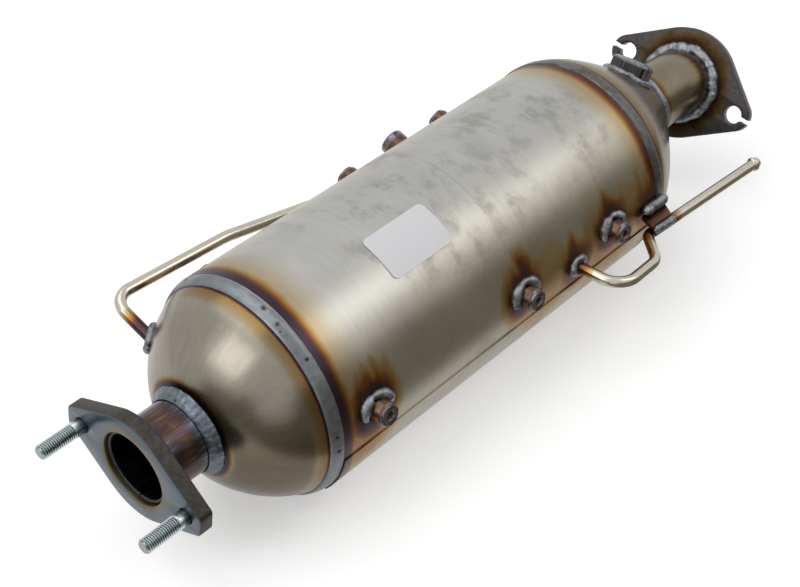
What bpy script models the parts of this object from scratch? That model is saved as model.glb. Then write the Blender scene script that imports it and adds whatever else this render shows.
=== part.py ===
"""Welded stainless steel exhaust filter canister with a catalyst brick in front of its filter brick.

Metres, +Z up. The canister's axis is the X axis, and the origin is the centre of the outlet
flange's machined face. The gas runs from the inlet flange at high X to the outlet flange at X 0.
Angles round the shell are clock angles in degrees: 0 is on top, 90 faces -Y, -90 faces +Y.
"""

from math import acos, asin, atan2, copysign, cos, degrees, hypot, pi, radians, sin, tan

import bmesh
import bpy
from mathutils import Matrix, Quaternion, Vector

# Clearances
SEAT_GAP = 0.0003

# Shell
SHELL_OD = 0.155
SHELL_LENGTH = 0.3177
SHELL_WALL = 0.0015
OUTLET_REACH = 0.0976
SKIRT_DEPTH = 0.008
SEAM_CLOCKS = (101.0, 131.0)
SEAM_THICKNESS = 0.0006

# Bricks inside the shell
BRICK_DIAMETER = 0.1438
FILTER_START = 0.022
FILTER_LENGTH = 0.1524
CATALYST_LENGTH = 0.0762
CATALYST_SETBACK = 0.0035
MAT_SETBACK = 0.003
KEEPER_WIDTH = 0.003
KEEPER_BORE = 0.138

# Outlet dome
DOME_LENGTH = 0.054
DOME_FULLNESS = 1.56
BAND_WIDTH = 0.0089
BAND_ROOT = 0.0025
BAND_CROWN_AT = 0.0027
BAND_SLOPE_AT = 0.0062
BAND_SLOPE_SHARE = 0.62
OUTLET_BAND_DROPS = (0.0004, 0.0028)

# Outlet neck and flange
OUTLET_NECK_OD = 0.050
OUTLET_NECK_WALL = 0.0018
NECK_INSERT = 0.004
TUBE_RECESS = 0.005
OUTLET_FLANGE_THICKNESS = 0.010
OUTLET_FLANGE_DISC = 0.074
OUTLET_FLANGE_LENGTH = 0.115
OUTLET_LOBE_WIDTH = 0.015
OUTLET_LOBE_CORNER = 0.003
OUTLET_EDGE_ROUND = 0.0006
OUTLET_BOLT_SPACING = 0.090
OUTLET_LOBE_CLOCK = 99.0
STUD_DIAMETER = 0.010
STUD_PROUD = 0.0315
STUD_BACK = 0.0015
STUD_CHAMFER = 0.0012

# Eccentric inlet cone
CONE_LENGTH = 0.0823
CONE_SHOULDER_DROP = 0.0007
CONE_SHOULDER = 0.009
CONE_CURVE = 1.385
CONE_SHIFT = 0.0082
CONE_SHIFT_CLOCK = 14.0
CONE_SHIFT_CURVE = 2.9
INLET_BAND_DROPS = (-0.0006, 0.0001)

# Inlet neck and flange
INLET_NECK_OD = 0.0505
INLET_NECK_WALL = 0.0018
INLET_STRAIGHT = 0.0324
INLET_BEND_RADIUS = 0.060
INLET_BEND_DEGREES = 31.0
INLET_BEND_CLOCK = 202.0
INLET_END_STRAIGHT = 0.0055
INLET_FLANGE_THICKNESS = 0.012
INLET_FLANGE_DISC = 0.086
INLET_BOLT_SPACING = 0.098
INLET_LOBE_RADIUS = 0.013
INLET_LOBE_TWIST = 10.3
INLET_BOLT_HOLE = 0.014
INLET_SLOT_WIDTH = 0.0042
INLET_EDGE_ROUND = 0.0015

# Hexagonal sensor boss on the cone
HEX_BACK = 0.0158
HEX_CLOCK = 2.0
HEX_TILT = 31.0
HEX_ACROSS_FLATS = 0.028
HEX_HEIGHT = 0.0105
HEX_BORE = 0.0105
HEX_RIM = 0.0135
HEX_CHAMFER = 0.0008
HEX_SINK_RADIUS = 0.0026
HEX_SINK_DEPTH = 0.0041

# Threaded standoff bosses on the shell
STANDOFF_OD = 0.0165
STANDOFF_PROUD = 0.0116
STANDOFF_HOLE = 0.0055
STANDOFF_HOLE_DEPTH = 0.009
STANDOFF_STEP = 0.0012
FRONT_STANDOFF_CLOCKS = (83.5, 83.5, 83.5)
REAR_STANDOFF_CLOCKS = (-79.0, -72.5, -72.5)

# Standoff stations: the first from the outlet rim, the others back from the inlet rim
FRONT_STANDOFF_AT = 0.028
FRONT_STANDOFFS_BACK = (0.1477, 0.0527)
REAR_STANDOFF_AT = 0.0405
REAR_STANDOFFS_BACK = (0.1457, 0.0497)

# Round sensor boss behind the shell
REAR_SENSOR_BACK = 0.0967
REAR_SENSOR_CLOCK = -71.0
REAR_SENSOR_OD = 0.019
REAR_SENSOR_PROUD = 0.0145
REAR_SENSOR_BORE = 0.0105

# Pressure pipes
PIPE_OD = 0.008
PIPE_BORE = 0.006
PORT_DEPTH = 0.020
HOSE_BEAD_RISE = 0.0013
HOSE_BEAD_LENGTH = 0.0045
HOSE_NOSE = 0.0025

# Front pipe: its port back from the inlet rim, then corners as distance past the port, lift off the
# shell and drop below the port
FRONT_PIPE_BACK = 0.0912
FRONT_PIPE_CLOCK = 90.0
FRONT_LOOP_START = (0.0021, 0.0353, 0.0018)
FRONT_LOOP_END = (0.0453, 0.0336, 0.0042)
FRONT_TAIL_START = (0.0658, 0.0119, 0.0060)
FRONT_TAIL_END = (0.1858, 0.0199, 0.0060)
FRONT_PIPE_BENDS = (0.017, 0.017, 0.007)

# Rear pipe: corners as lift off the shell and clock angle
REAR_PIPE_AHEAD = 0.0278
REAR_PIPE_INSERT = 0.0025
REAR_PIPE_CORNER = (0.0234, -71.0)
REAR_PIPE_KINK_AT = 0.0668
REAR_PIPE_KINK = (0.0198, -73.0)
REAR_PIPE_END = (0.0112, -84.6)
REAR_PIPE_BENDS = (0.013, 0.060)

# Brackets that hold the pipes
BRACKET_THICKNESS = 0.003
BRACKET_ROOT_LIFT = 0.0006
FRONT_BRACKET_ROOT = (0.0725, 0.0985)
FRONT_BRACKET_TIP = (0.0675, 0.0895)
FRONT_BRACKET_LAP = 0.0015
REAR_BRACKET_BACK = (0.028, 0.012)

# Weld beads
OUTLET_BEAD_REACH = 0.0043
OUTLET_BEAD_RISE = 0.0085
INLET_BEAD_REACH = 0.0036
INLET_BEAD_RISE = 0.0045
BORE_BEAD_RISE = 0.0025
FLANGE_BEAD_REACH = 0.0042
FLANGE_BEAD_RISE = 0.005
BOSS_BEAD_REACH = 0.0035
BOSS_BEAD_RISE = 0.0035
HEX_BEAD_SLOPE = 0.0028
PIPE_BEAD_REACH = 0.0048
STANDOFF_BEAD_RADIUS = 0.0025
STANDOFF_BEAD_LIFT = 0.0012
STANDOFF_BEAD_DEGREES = 220
BRACKET_BEAD_RADIUS = 0.0034
PIPE_RUN_BEAD_RADIUS = 0.0024

# Outlines of weld beads, as shares of their reach and rise
HOLLOW_BEAD = ((1, 0), (0.62, 0.42), (0.24, 0.84), (0, 1))
ROUND_BEAD = ((1, 0), (0.85, 0.45), (0.35, 0.9), (0, 1))

# Rounded end of a bead, as how far along and how thick in shares of its radius
BEAD_END = ((0, 0.45), (0.35, 0.85), (1, 1))

# Blank paper label
LABEL_START = 0.078
LABEL_END = 0.132
LABEL_CLOCKS = (14.0, 38.0)
LABEL_CORNER = 0.004
LABEL_THICKNESS = 0.0003

# Faces round a turned piece, and rings or steps along a curved one
BIG_SIDES = 44
NECK_SIDES = 24
SMALL_SIDES = 14
PIPE_SIDES = 8
BEAD_SIDES = 6
DOME_RINGS = 6
CONE_RINGS = 6
NECK_BEND_STEPS = 5
PIPE_BEND_STEPS = 3
SEAM_STEPS = 6
LABEL_STEPS = 10
OPEN_BEAD_STEPS = 10
SHARP_ANGLE = radians(32)

SHELL_RADIUS = SHELL_OD / 2
SHELL_BORE = SHELL_RADIUS - SHELL_WALL
SKIRT_RADIUS = SHELL_BORE - SEAT_GAP
OUTLET_RIM = OUTLET_REACH
INLET_RIM = OUTLET_REACH + SHELL_LENGTH
FILTER_END = FILTER_START + FILTER_LENGTH
CATALYST_END = SHELL_LENGTH - CATALYST_SETBACK
CATALYST_START = CATALYST_END - CATALYST_LENGTH
REAR_SENSOR_AT = SHELL_LENGTH - REAR_SENSOR_BACK
FRONT_PIPE_AT = SHELL_LENGTH - FRONT_PIPE_BACK
REAR_PIPE_END_AT = SHELL_LENGTH - REAR_STANDOFFS_BACK[0]
ALONG = Vector((1, 0, 0))


def clear_scene():
    for old in list(bpy.data.objects):
        bpy.data.objects.remove(old, do_unlink=True)


def finish(name, colour, roughness, metallic=1.0):
    """A plain Principled material."""
    made = bpy.data.materials.new(name)
    made.use_nodes = True
    shader = made.node_tree.nodes["Principled BSDF"]
    shader.inputs["Base Color"].default_value = (*colour, 1)
    shader.inputs["Roughness"].default_value = roughness
    shader.inputs["Metallic"].default_value = metallic
    made.diffuse_color = (*colour, 1)
    return made


def out_at(clock):
    """Unit vector that points out of the shell at this clock angle."""
    return Vector((0, -sin(radians(clock)), cos(radians(clock))))


def on_shell(along, radius, clock):
    """Point at this distance along the shell from its outlet rim, at a radius and a clock angle."""
    return Vector((OUTLET_RIM + along, 0, 0)) + radius * out_at(clock)


def facing(point, direction, flat=ALONG):
    """Placement whose local Z points along direction and whose local X lies nearest to flat."""
    z = Vector(direction).normalized()
    x = (flat - flat.dot(z) * z).normalized()
    turn = Matrix((x, z.cross(x), z)).transposed()
    return Matrix.Translation(point) @ turn.to_4x4()


def coaxial(along, direction=1):
    """Placement on the canister's axis, with local Z towards the inlet, or the outlet for -1."""
    return facing(Vector((along, 0, 0)), direction * ALONG, flat=Vector((0, 0, 1)))


def solid(name, bm, material, place=None):
    """Object made from a bmesh, shaded smooth except at its sharp edges."""
    bmesh.ops.recalc_face_normals(bm, faces=bm.faces)
    mesh = bpy.data.meshes.new(name)
    bm.to_mesh(mesh)
    bm.free()
    mesh.shade_smooth()
    mesh.set_sharp_from_angle(angle=SHARP_ANGLE)
    if material:
        mesh.materials.append(material)
    made = bpy.data.objects.new(name, mesh)
    bpy.context.scene.collection.objects.link(made)
    if place:
        made.matrix_world = place
    return made


def skin(bm, rings, joined):
    """Quads between neighbouring rings of points. The last ring joins the first, or both get a cap."""
    loops = [[bm.verts.new(point) for point in ring] for ring in rings]
    pairs = list(zip(loops, loops[1:]))
    if joined:
        pairs.append((loops[-1], loops[0]))
    for one, two in pairs:
        for i in range(len(one)):
            j = (i + 1) % len(one)
            bm.faces.new((one[i], one[j], two[j], two[i]))
    if not joined:
        bm.faces.new(loops[0])
        bm.faces.new(loops[-1])


def circle(radius, height, sides, centre=(0, 0)):
    turn = 2 * pi / sides
    return [
        Vector((centre[0] + radius * cos(turn * i), centre[1] + radius * sin(turn * i), height))
        for i in range(sides)
    ]


def turned(name, outline, sides, material, place, hollow=True):
    """Piece turned about its local Z. A hollow outline is a closed loop of (radius, height)."""
    bm = bmesh.new()
    skin(bm, [circle(radius, height, sides) for radius, height in outline], joined=hollow)
    return solid(name, bm, material, place)


def helper(made):
    """Marks an object as one that only shapes others."""
    made.hide_render = True
    made.display_type = "WIRE"
    return made


def cut(made, *cutters):
    for cutter in cutters:
        modifier = made.modifiers.new("cut by " + cutter.name, "BOOLEAN")
        modifier.operation = "DIFFERENCE"
        modifier.solver = "EXACT"
        modifier.object = cutter
    return made


def drill(name, place, radius, depth, sides=SMALL_SIDES):
    """Cutter that reaches this depth both ways from its place."""
    outline = ((radius, -depth), (radius, depth))
    return helper(turned(name, outline, sides, None, place, hollow=False))


def inset(points, distance):
    """The outline moved sideways by a wall: inwards for an outline that runs away from the rim."""
    moved = []
    for i, (radius, height) in enumerate(points):
        before = Vector(points[max(i - 1, 0)])
        after = Vector(points[min(i + 1, len(points) - 1)])
        run = (after - before).normalized()
        moved.append((radius - run.y * distance, height + run.x * distance))
    return moved


def tube_shell(name, sides, outer, inner, low, high, material, place):
    outline = ((outer, low), (outer, high), (inner, high), (inner, low))
    return turned(name, outline, sides, material, place)


def filter_shell(material, ports):
    made = tube_shell(
        "filter_shell",
        BIG_SIDES,
        SHELL_RADIUS,
        SHELL_BORE,
        0,
        SHELL_LENGTH,
        material,
        coaxial(OUTLET_RIM),
    )
    return cut(made, *ports)


def shell_envelope():
    """The shell's outside and its seat gap, which trims what is welded on."""
    outline = ((SHELL_RADIUS + SEAT_GAP, 0), (SHELL_RADIUS + SEAT_GAP, SHELL_LENGTH))
    place = coaxial(OUTLET_RIM)
    return helper(turned("shell_envelope", outline, BIG_SIDES, None, place, hollow=False))


def wrapped(name, low, high, clocks, inner, outer, corner, steps, material):
    """Plate bent round the shell between two clock angles, with rounded corners."""
    half_arc = radians(clocks[1] - clocks[0]) / 2 * outer
    middle = (clocks[0] + clocks[1]) / 2
    stations = [half_arc * (2 * i / steps - 1) for i in range(steps + 1)]
    if corner:
        ends = [half_arc - corner * (1 - sin(angle)) for angle in (0, pi / 6, pi / 3)]
        stations = [s for s in stations if abs(s) < ends[0] - corner / 4]
        stations = sorted(stations + ends + [-s for s in ends] + [half_arc, -half_arc])
    rings = []
    for station in stations:
        past = max(0, abs(station) - (half_arc - corner))
        cut_back = corner - (max(corner**2 - past**2, 0) ** 0.5 if corner else 0)
        clock = middle + degrees(station / outer)
        ends = (low + cut_back, high - cut_back)
        corners = ((ends[0], inner), (ends[1], inner), (ends[1], outer), (ends[0], outer))
        rings.append([on_shell(along, radius, clock) for along, radius in corners])
    bm = bmesh.new()
    skin(bm, rings, joined=False)
    return solid(name, bm, material)


def shell_seam(material):
    """The lapped edge of the rolled shell sheet, which runs its whole length."""
    return wrapped(
        "shell_seam",
        0,
        SHELL_LENGTH,
        SEAM_CLOCKS,
        SHELL_RADIUS + SEAT_GAP,
        SHELL_RADIUS + SEAT_GAP + SEAM_THICKNESS,
        0,
        SEAM_STEPS,
        material,
    )


def blank_label(material):
    return wrapped(
        "blank_label",
        LABEL_START,
        LABEL_END,
        LABEL_CLOCKS,
        SHELL_RADIUS + SEAT_GAP,
        SHELL_RADIUS + SEAT_GAP + LABEL_THICKNESS,
        LABEL_CORNER,
        LABEL_STEPS,
        material,
    )


def brick(name, start, length, material):
    outline = ((BRICK_DIAMETER / 2, 0), (BRICK_DIAMETER / 2, length))
    return turned(name, outline, BIG_SIDES, material, coaxial(OUTLET_RIM + start), hollow=False)


def mat(name, start, length, material):
    """Support mat packed between a brick and the shell."""
    return tube_shell(
        name,
        BIG_SIDES,
        SKIRT_RADIUS,
        BRICK_DIAMETER / 2 + SEAT_GAP,
        0,
        length,
        material,
        coaxial(OUTLET_RIM + start),
    )


def keeper(name, start, outer, material):
    """Ring that keeps a brick from sliding along the shell."""
    return tube_shell(
        name,
        BIG_SIDES,
        outer,
        KEEPER_BORE / 2,
        0,
        KEEPER_WIDTH,
        material,
        coaxial(OUTLET_RIM + start),
    )


def canned_bricks(ceramic, coated, fibre, steel):
    brick("filter_brick", FILTER_START, FILTER_LENGTH, ceramic)
    brick("catalyst_brick", CATALYST_START, CATALYST_LENGTH, coated)
    mat_start = FILTER_START + MAT_SETBACK
    mat("filter_mat", mat_start, FILTER_END - MAT_SETBACK - mat_start, fibre)
    mat_start = CATALYST_START + MAT_SETBACK
    mat_end = min(CATALYST_END, SHELL_LENGTH - SKIRT_DEPTH) - SEAT_GAP
    mat("catalyst_mat", mat_start, mat_end - mat_start, fibre)
    outlet_start = FILTER_START - SEAT_GAP - KEEPER_WIDTH
    keeper("filter_keeper", outlet_start, SKIRT_RADIUS, steel)
    inlet_outer = SKIRT_RADIUS - SHELL_WALL - SEAT_GAP
    keeper("catalyst_keeper", CATALYST_END + SEAT_GAP, inlet_outer, steel)


def dome_curve(mouth, swell):
    """Outside of the dome from its skirt to its mouth, a superellipse, as (radius, height)."""
    points = []
    depth = SKIRT_RADIUS + swell - mouth
    power = 2 / DOME_FULLNESS
    for i in range(DOME_RINGS + 1):
        angle = pi / 2 * i / DOME_RINGS
        radius = mouth + depth * cos(angle) ** power if i < DOME_RINGS else mouth
        points.append((radius, (DOME_LENGTH + swell) * sin(angle) ** power))
    return points


def outlet_dome(material, port):
    mouth = OUTLET_NECK_OD / 2 + SEAT_GAP
    outside = [(SKIRT_RADIUS, -SKIRT_DEPTH)] + dome_curve(mouth, 0)
    inside = [point for point in inset(outside, SHELL_WALL) if point[0] > mouth]
    inside[0] = (SKIRT_RADIUS - SHELL_WALL, -SKIRT_DEPTH)
    inside.append((mouth, DOME_LENGTH - SHELL_WALL))
    made = turned(
        "outlet_dome",
        outside + inside[::-1],
        BIG_SIDES,
        material,
        coaxial(OUTLET_RIM, -1),
    )
    return cut(made, port)


def dome_envelope():
    outline = [(SKIRT_RADIUS + SEAT_GAP, -SKIRT_DEPTH)]
    outline += dome_curve(OUTLET_NECK_OD / 2 + SEAT_GAP, SEAT_GAP)
    place = coaxial(OUTLET_RIM, -1)
    return helper(turned("dome_envelope", outline, BIG_SIDES, None, place, hollow=False))


def weld_band(name, drops, place, envelope, material):
    """Wide bead round the shell's end. drops says how far its crown and foot lie inside the shell's OD."""
    crown, foot = [SHELL_RADIUS - drop for drop in drops]
    outline = (
        (foot - BAND_ROOT, SEAT_GAP),
        (SHELL_RADIUS, SEAT_GAP),
        (crown, BAND_CROWN_AT),
        (foot + (crown - foot) * BAND_SLOPE_SHARE, BAND_SLOPE_AT),
        (foot, BAND_WIDTH),
        (foot - BAND_ROOT, BAND_WIDTH),
    )
    return cut(turned(name, outline, BIG_SIDES, material, place), envelope)


def fillet(name, radius, reach, rise, sides, material, place, *envelopes):
    """Bead round a tube of this radius where it meets a surface, trimmed by that surface."""
    hole = radius + SEAT_GAP
    sink = 2 * reach
    outline = [(hole, -sink), (hole + reach, -sink)]
    outline += [(hole + reach * out, rise * up) for out, up in HOLLOW_BEAD]
    return cut(turned(name, outline, sides, material, place), *envelopes)


def outlet_neck(material):
    """Straight tube from inside the dome to its recess in the flange's bore."""
    length = OUTLET_REACH - TUBE_RECESS - DOME_LENGTH + NECK_INSERT
    radius = OUTLET_NECK_OD / 2
    place = coaxial(OUTLET_RIM - DOME_LENGTH + NECK_INSERT, -1)
    return tube_shell(
        "outlet_neck", NECK_SIDES, radius, radius - OUTLET_NECK_WALL, 0, length, material, place
    )


def arc_points(centre, radius, start, end, steps):
    """Points on a flat arc from one angle to another, in radians."""
    points = []
    for i in range(steps + 1):
        angle = start + (end - start) * i / steps
        points.append(Vector((centre[0] + radius * cos(angle), centre[1] + radius * sin(angle))))
    return points


def rounded_corner(before, corner, after, radius, steps):
    """Arc that rounds the corner of a flat outline."""
    back = (before - corner).normalized()
    ahead = (after - corner).normalized()
    half = acos(max(-1, min(1, back.dot(ahead)))) / 2
    centre = corner + (back + ahead).normalized() * radius / sin(half)
    first = corner + back * radius / tan(half) - centre
    last = corner + ahead * radius / tan(half) - centre
    turn = first.angle_signed(last)
    points = []
    for i in range(steps + 1):
        angle = turn * i / steps
        spun = Vector(
            (
                first.x * cos(angle) + first.y * sin(angle),
                first.y * cos(angle) - first.x * sin(angle),
            )
        )
        points.append(centre + spun)
    return points


def flat_lobed_outline(disc, half_length, half_width, corner):
    """Disc with two tapered lobes that end flat, as one flat outline."""
    tip = Vector((half_length, half_width))
    tangent = tip.angle_signed(Vector((1, 0))) + acos(disc / tip.length)
    top = arc_points((0, 0), disc, tangent, pi - tangent, 8)
    bottom = arc_points((0, 0), disc, pi + tangent, 2 * pi - tangent, 8)
    corners = [
        (top[-1], Vector((-half_length, half_width)), Vector((-half_length, -half_width))),
        (Vector((-half_length, half_width)), Vector((-half_length, -half_width)), bottom[0]),
        (bottom[-1], Vector((half_length, -half_width)), tip),
        (Vector((half_length, -half_width)), tip, top[0]),
    ]
    arcs = [rounded_corner(*corner_set, corner, 3) for corner_set in corners]
    return top + arcs[0] + arcs[1] + bottom + arcs[2] + arcs[3]


def round_lobed_outline(disc, half_spacing, lobe):
    """Hull of a disc and a small circle round each bolt hole, as one flat outline."""
    tangent = pi / 2 - asin((disc - lobe) / half_spacing)
    top = arc_points((0, 0), disc, tangent, pi - tangent, 9)
    left = arc_points((-half_spacing, 0), lobe, pi - tangent, pi + tangent, 8)
    bottom = arc_points((0, 0), disc, pi + tangent, 2 * pi - tangent, 9)
    right = arc_points((half_spacing, 0), lobe, -tangent, tangent, 8)
    return top + left + bottom + right


def plate(name, outline, thickness, edge_round, material, place):
    """Flat outline extruded along local Z, with its rims rounded."""
    bm = bmesh.new()
    rings = [[Vector((p.x, p.y, height)) for p in outline] for height in (-thickness, 0)]
    skin(bm, rings, joined=False)
    made = solid(name, bm, material, place)
    bevel = made.modifiers.new("rounded rims", "BEVEL")
    bevel.width = edge_round
    bevel.segments = 2
    bevel.limit_method = "ANGLE"
    bevel.angle_limit = radians(60)
    return made


def outlet_flange(material):
    outline = flat_lobed_outline(
        OUTLET_FLANGE_DISC / 2,
        OUTLET_FLANGE_LENGTH / 2,
        OUTLET_LOBE_WIDTH / 2,
        OUTLET_LOBE_CORNER,
    )
    place = facing(Vector((0, 0, 0)), -ALONG, flat=out_at(OUTLET_LOBE_CLOCK))
    made = plate(
        "outlet_flange", outline, OUTLET_FLANGE_THICKNESS, OUTLET_EDGE_ROUND, material, place
    )
    bore = drill(
        "outlet_bore",
        place,
        OUTLET_NECK_OD / 2 + SEAT_GAP,
        2 * OUTLET_FLANGE_THICKNESS,
        NECK_SIDES,
    )
    cut(made, bore)
    for side in (-1, 1):
        spot = place @ Matrix.Translation((side * OUTLET_BOLT_SPACING / 2, 0, 0))
        radius = STUD_DIAMETER / 2 + SEAT_GAP
        cut(made, drill(f"stud_hole_{side}", spot, radius, 2 * OUTLET_FLANGE_THICKNESS))
    return made


def outlet_studs(material):
    """Two studs that stand out of the outlet flange's machined face."""
    radius = STUD_DIAMETER / 2
    back = -OUTLET_FLANGE_THICKNESS - STUD_BACK
    outline = (
        (radius - STUD_CHAMFER, back),
        (radius, back + STUD_CHAMFER),
        (radius, STUD_PROUD - STUD_CHAMFER),
        (radius - STUD_CHAMFER, STUD_PROUD),
    )
    place = facing(Vector((0, 0, 0)), -ALONG, flat=out_at(OUTLET_LOBE_CLOCK))
    made = []
    for name, side in (("outlet_stud_front", 1), ("outlet_stud_rear", -1)):
        spot = place @ Matrix.Translation((side * OUTLET_BOLT_SPACING / 2, 0, 0))
        made.append(turned(name, outline, SMALL_SIDES, material, spot, hollow=False))
    return made


def outlet_bore_weld(material):
    """Bead inside the flange's bore that joins it to the end of the recessed tube."""
    outer = OUTLET_NECK_OD / 2
    start = -TUBE_RECESS + SEAT_GAP
    outline = (
        (outer - OUTLET_NECK_WALL, start),
        (outer, start),
        (outer, start + BORE_BEAD_RISE),
        (outer - OUTLET_NECK_WALL / 2, start + OUTLET_NECK_WALL),
    )
    return turned("outlet_bore_weld", outline, NECK_SIDES, material, coaxial(0, -1))


def cone_ring(share, swell):
    """Radius, height and centre of the cone's outside at this share of its tapered length."""
    mouth = INLET_NECK_OD / 2 + SEAT_GAP + SHELL_WALL
    shoulder = SHELL_RADIUS - CONE_SHOULDER_DROP
    radius = shoulder + (mouth - shoulder) * share**CONE_CURVE + swell
    height = CONE_SHOULDER + (CONE_LENGTH - CONE_SHOULDER) * share
    shift = CONE_SHIFT * share**CONE_SHIFT_CURVE
    return radius, height, shift


def cone_stations(swell):
    """Rings of the cone from its skirt to its mouth, as (radius, height, shift)."""
    skirt = SKIRT_RADIUS + swell
    joggle = CONE_SHOULDER / 3
    rings = [(skirt, -SKIRT_DEPTH, 0), (skirt, joggle, 0)]
    return rings + [cone_ring(i / CONE_RINGS, swell) for i in range(CONE_RINGS + 1)]


def loft(bm, stations, joined):
    """Skin through circles whose centres shift towards CONE_SHIFT_CLOCK."""
    rings = []
    for radius, height, shift in stations:
        side = radians(CONE_SHIFT_CLOCK)
        centre = (shift * cos(side), shift * sin(side))
        rings.append(circle(radius, height, BIG_SIDES, centre))
    skin(bm, rings, joined)


def inlet_cone(material, *ports):
    """Eccentric cone from the round shell to the inlet neck, with a joggled skirt."""
    outside = cone_stations(0)
    moved = inset([(radius, height) for radius, height, _ in outside], SHELL_WALL)
    inside = [(r, h, ring[2]) for (r, h), ring in zip(moved, outside)]
    mouth = INLET_NECK_OD / 2 + SEAT_GAP
    inside[0] = (SKIRT_RADIUS - SHELL_WALL, -SKIRT_DEPTH, 0)
    inside[-1] = (mouth, CONE_LENGTH - SHELL_WALL, CONE_SHIFT)
    rim = (mouth, CONE_LENGTH, CONE_SHIFT)
    bm = bmesh.new()
    loft(bm, outside + [rim] + inside[::-1], joined=True)
    return cut(solid("inlet_cone", bm, material, coaxial(INLET_RIM)), *ports)


def cone_envelope():
    bm = bmesh.new()
    loft(bm, cone_stations(SEAT_GAP), joined=False)
    return helper(solid("cone_envelope", bm, None, coaxial(INLET_RIM)))


def mouth_point(beyond=0):
    """Point on the inlet neck's first straight run, this far beyond the cone's mouth."""
    return Vector((INLET_RIM + CONE_LENGTH + beyond, 0, 0)) + CONE_SHIFT * out_at(CONE_SHIFT_CLOCK)


def rounded_route(corners, bends, steps):
    """Points of a path of straight runs whose inner corners are rounded to the bend radii."""
    points = [corners[0]]
    for before, corner, after, bend in zip(corners, corners[1:], corners[2:], bends):
        back = (before - corner).normalized()
        ahead = (after - corner).normalized()
        turn = pi - back.angle(ahead)
        centre = corner + (back + ahead).normalized() * bend / cos(turn / 2)
        first = corner + back * bend * tan(turn / 2) - centre
        axis = back.cross(ahead)
        for i in range(steps + 1):
            spin = Quaternion(axis, -turn * i / steps)
            points.append(centre + spin @ first)
    points.append(corners[-1])
    return points


def section_frames(points):
    """A pair of unit vectors across the path at each point, carried along without twist."""
    runs = [(b - a).normalized() for a, b in zip(points, points[1:])]
    tangents = [runs[0]]
    tangents += [(a + b).normalized() for a, b in zip(runs, runs[1:])]
    tangents.append(runs[-1])
    across = tangents[0].orthogonal().normalized()
    frames = []
    for before, tangent in zip(tangents[:1] + tangents, tangents):
        across = before.rotation_difference(tangent) @ across
        frames.append((across, tangent.cross(across)))
    return frames


def swept_rings(points, radii, sides):
    rings = []
    for point, radius, (across, over) in zip(points, radii, section_frames(points)):
        ring = []
        for i in range(sides):
            angle = 2 * pi * i / sides
            ring.append(point + radius * (cos(angle) * across + sin(angle) * over))
        rings.append(ring)
    return rings


def swept_tube(name, points, outer, inner, sides, material, *cutters):
    """Hollow tube along a path. outer and inner are one radius for each point."""
    bm = bmesh.new()
    outside = swept_rings(points, outer, sides)
    inside = swept_rings(points, inner, sides)
    skin(bm, outside + inside[::-1], joined=True)
    return cut(solid(name, bm, material), *cutters)


def inlet_axis():
    """Start, corner, end and end direction of the inlet neck's centre line."""
    turn = radians(INLET_BEND_DEGREES)
    heading = cos(turn) * ALONG + sin(turn) * out_at(INLET_BEND_CLOCK)
    reach = INLET_BEND_RADIUS * tan(turn / 2)
    start = mouth_point(-NECK_INSERT)
    corner = mouth_point(INLET_STRAIGHT + reach)
    end = corner + (reach + INLET_END_STRAIGHT) * heading
    return start, corner, end, heading


def inlet_neck(material):
    start, corner, end, _ = inlet_axis()
    points = rounded_route((start, corner, end), (INLET_BEND_RADIUS,), NECK_BEND_STEPS)
    radius = INLET_NECK_OD / 2
    outer = [radius] * len(points)
    inner = [radius - INLET_NECK_WALL] * len(points)
    return swept_tube("inlet_neck", points, outer, inner, NECK_SIDES, material)


def neck_envelope():
    """The inlet neck's outside and its seat gap, carried on past its end, which trims what it passes."""
    start, corner, end, heading = inlet_axis()
    beyond = end + 2 * INLET_FLANGE_THICKNESS * heading
    points = rounded_route((start, corner, beyond), (INLET_BEND_RADIUS,), NECK_BEND_STEPS)
    radii = [INLET_NECK_OD / 2 + SEAT_GAP] * len(points)
    bm = bmesh.new()
    skin(bm, swept_rings(points, radii, NECK_SIDES), joined=False)
    return helper(solid("neck_envelope", bm, None))


def inlet_flange_place():
    """Placement of the mating face: local Z out of the face, local X along the bolt line."""
    _, _, end, heading = inlet_axis()
    lobe = out_at(90 + INLET_LOBE_TWIST)
    face = end + TUBE_RECESS * heading
    return facing(face, heading, flat=lobe)


def inlet_flange(material, envelope):
    outline = round_lobed_outline(
        INLET_FLANGE_DISC / 2, INLET_BOLT_SPACING / 2, INLET_LOBE_RADIUS
    )
    place = inlet_flange_place()
    made = plate(
        "inlet_flange", outline, INLET_FLANGE_THICKNESS, INLET_EDGE_ROUND, material, place
    )
    reach = 2 * INLET_FLANGE_THICKNESS
    cut(made, envelope)
    for side in (-1, 1):
        spot = place @ Matrix.Translation((side * INLET_BOLT_SPACING / 2, 0, 0))
        cut(made, drill(f"keyhole_{side}", spot, INLET_BOLT_HOLE / 2, reach, NECK_SIDES))
        cut(made, keyhole_slot(f"keyhole_slot_{side}", spot, side, reach))
    return made


def keyhole_slot(name, spot, side, depth):
    """Cutter for the slot that opens a bolt hole outwards through its lobe."""
    bm = bmesh.new()
    bmesh.ops.create_cube(bm, size=1)
    length = 2 * INLET_LOBE_RADIUS
    stretch = Matrix.Diagonal((length, INLET_SLOT_WIDTH, 2 * depth, 1))
    shift = Matrix.Translation((side * length / 2, 0, 0))
    bmesh.ops.transform(bm, matrix=shift @ stretch, verts=bm.verts)
    return helper(solid(name, bm, None, spot))


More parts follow.
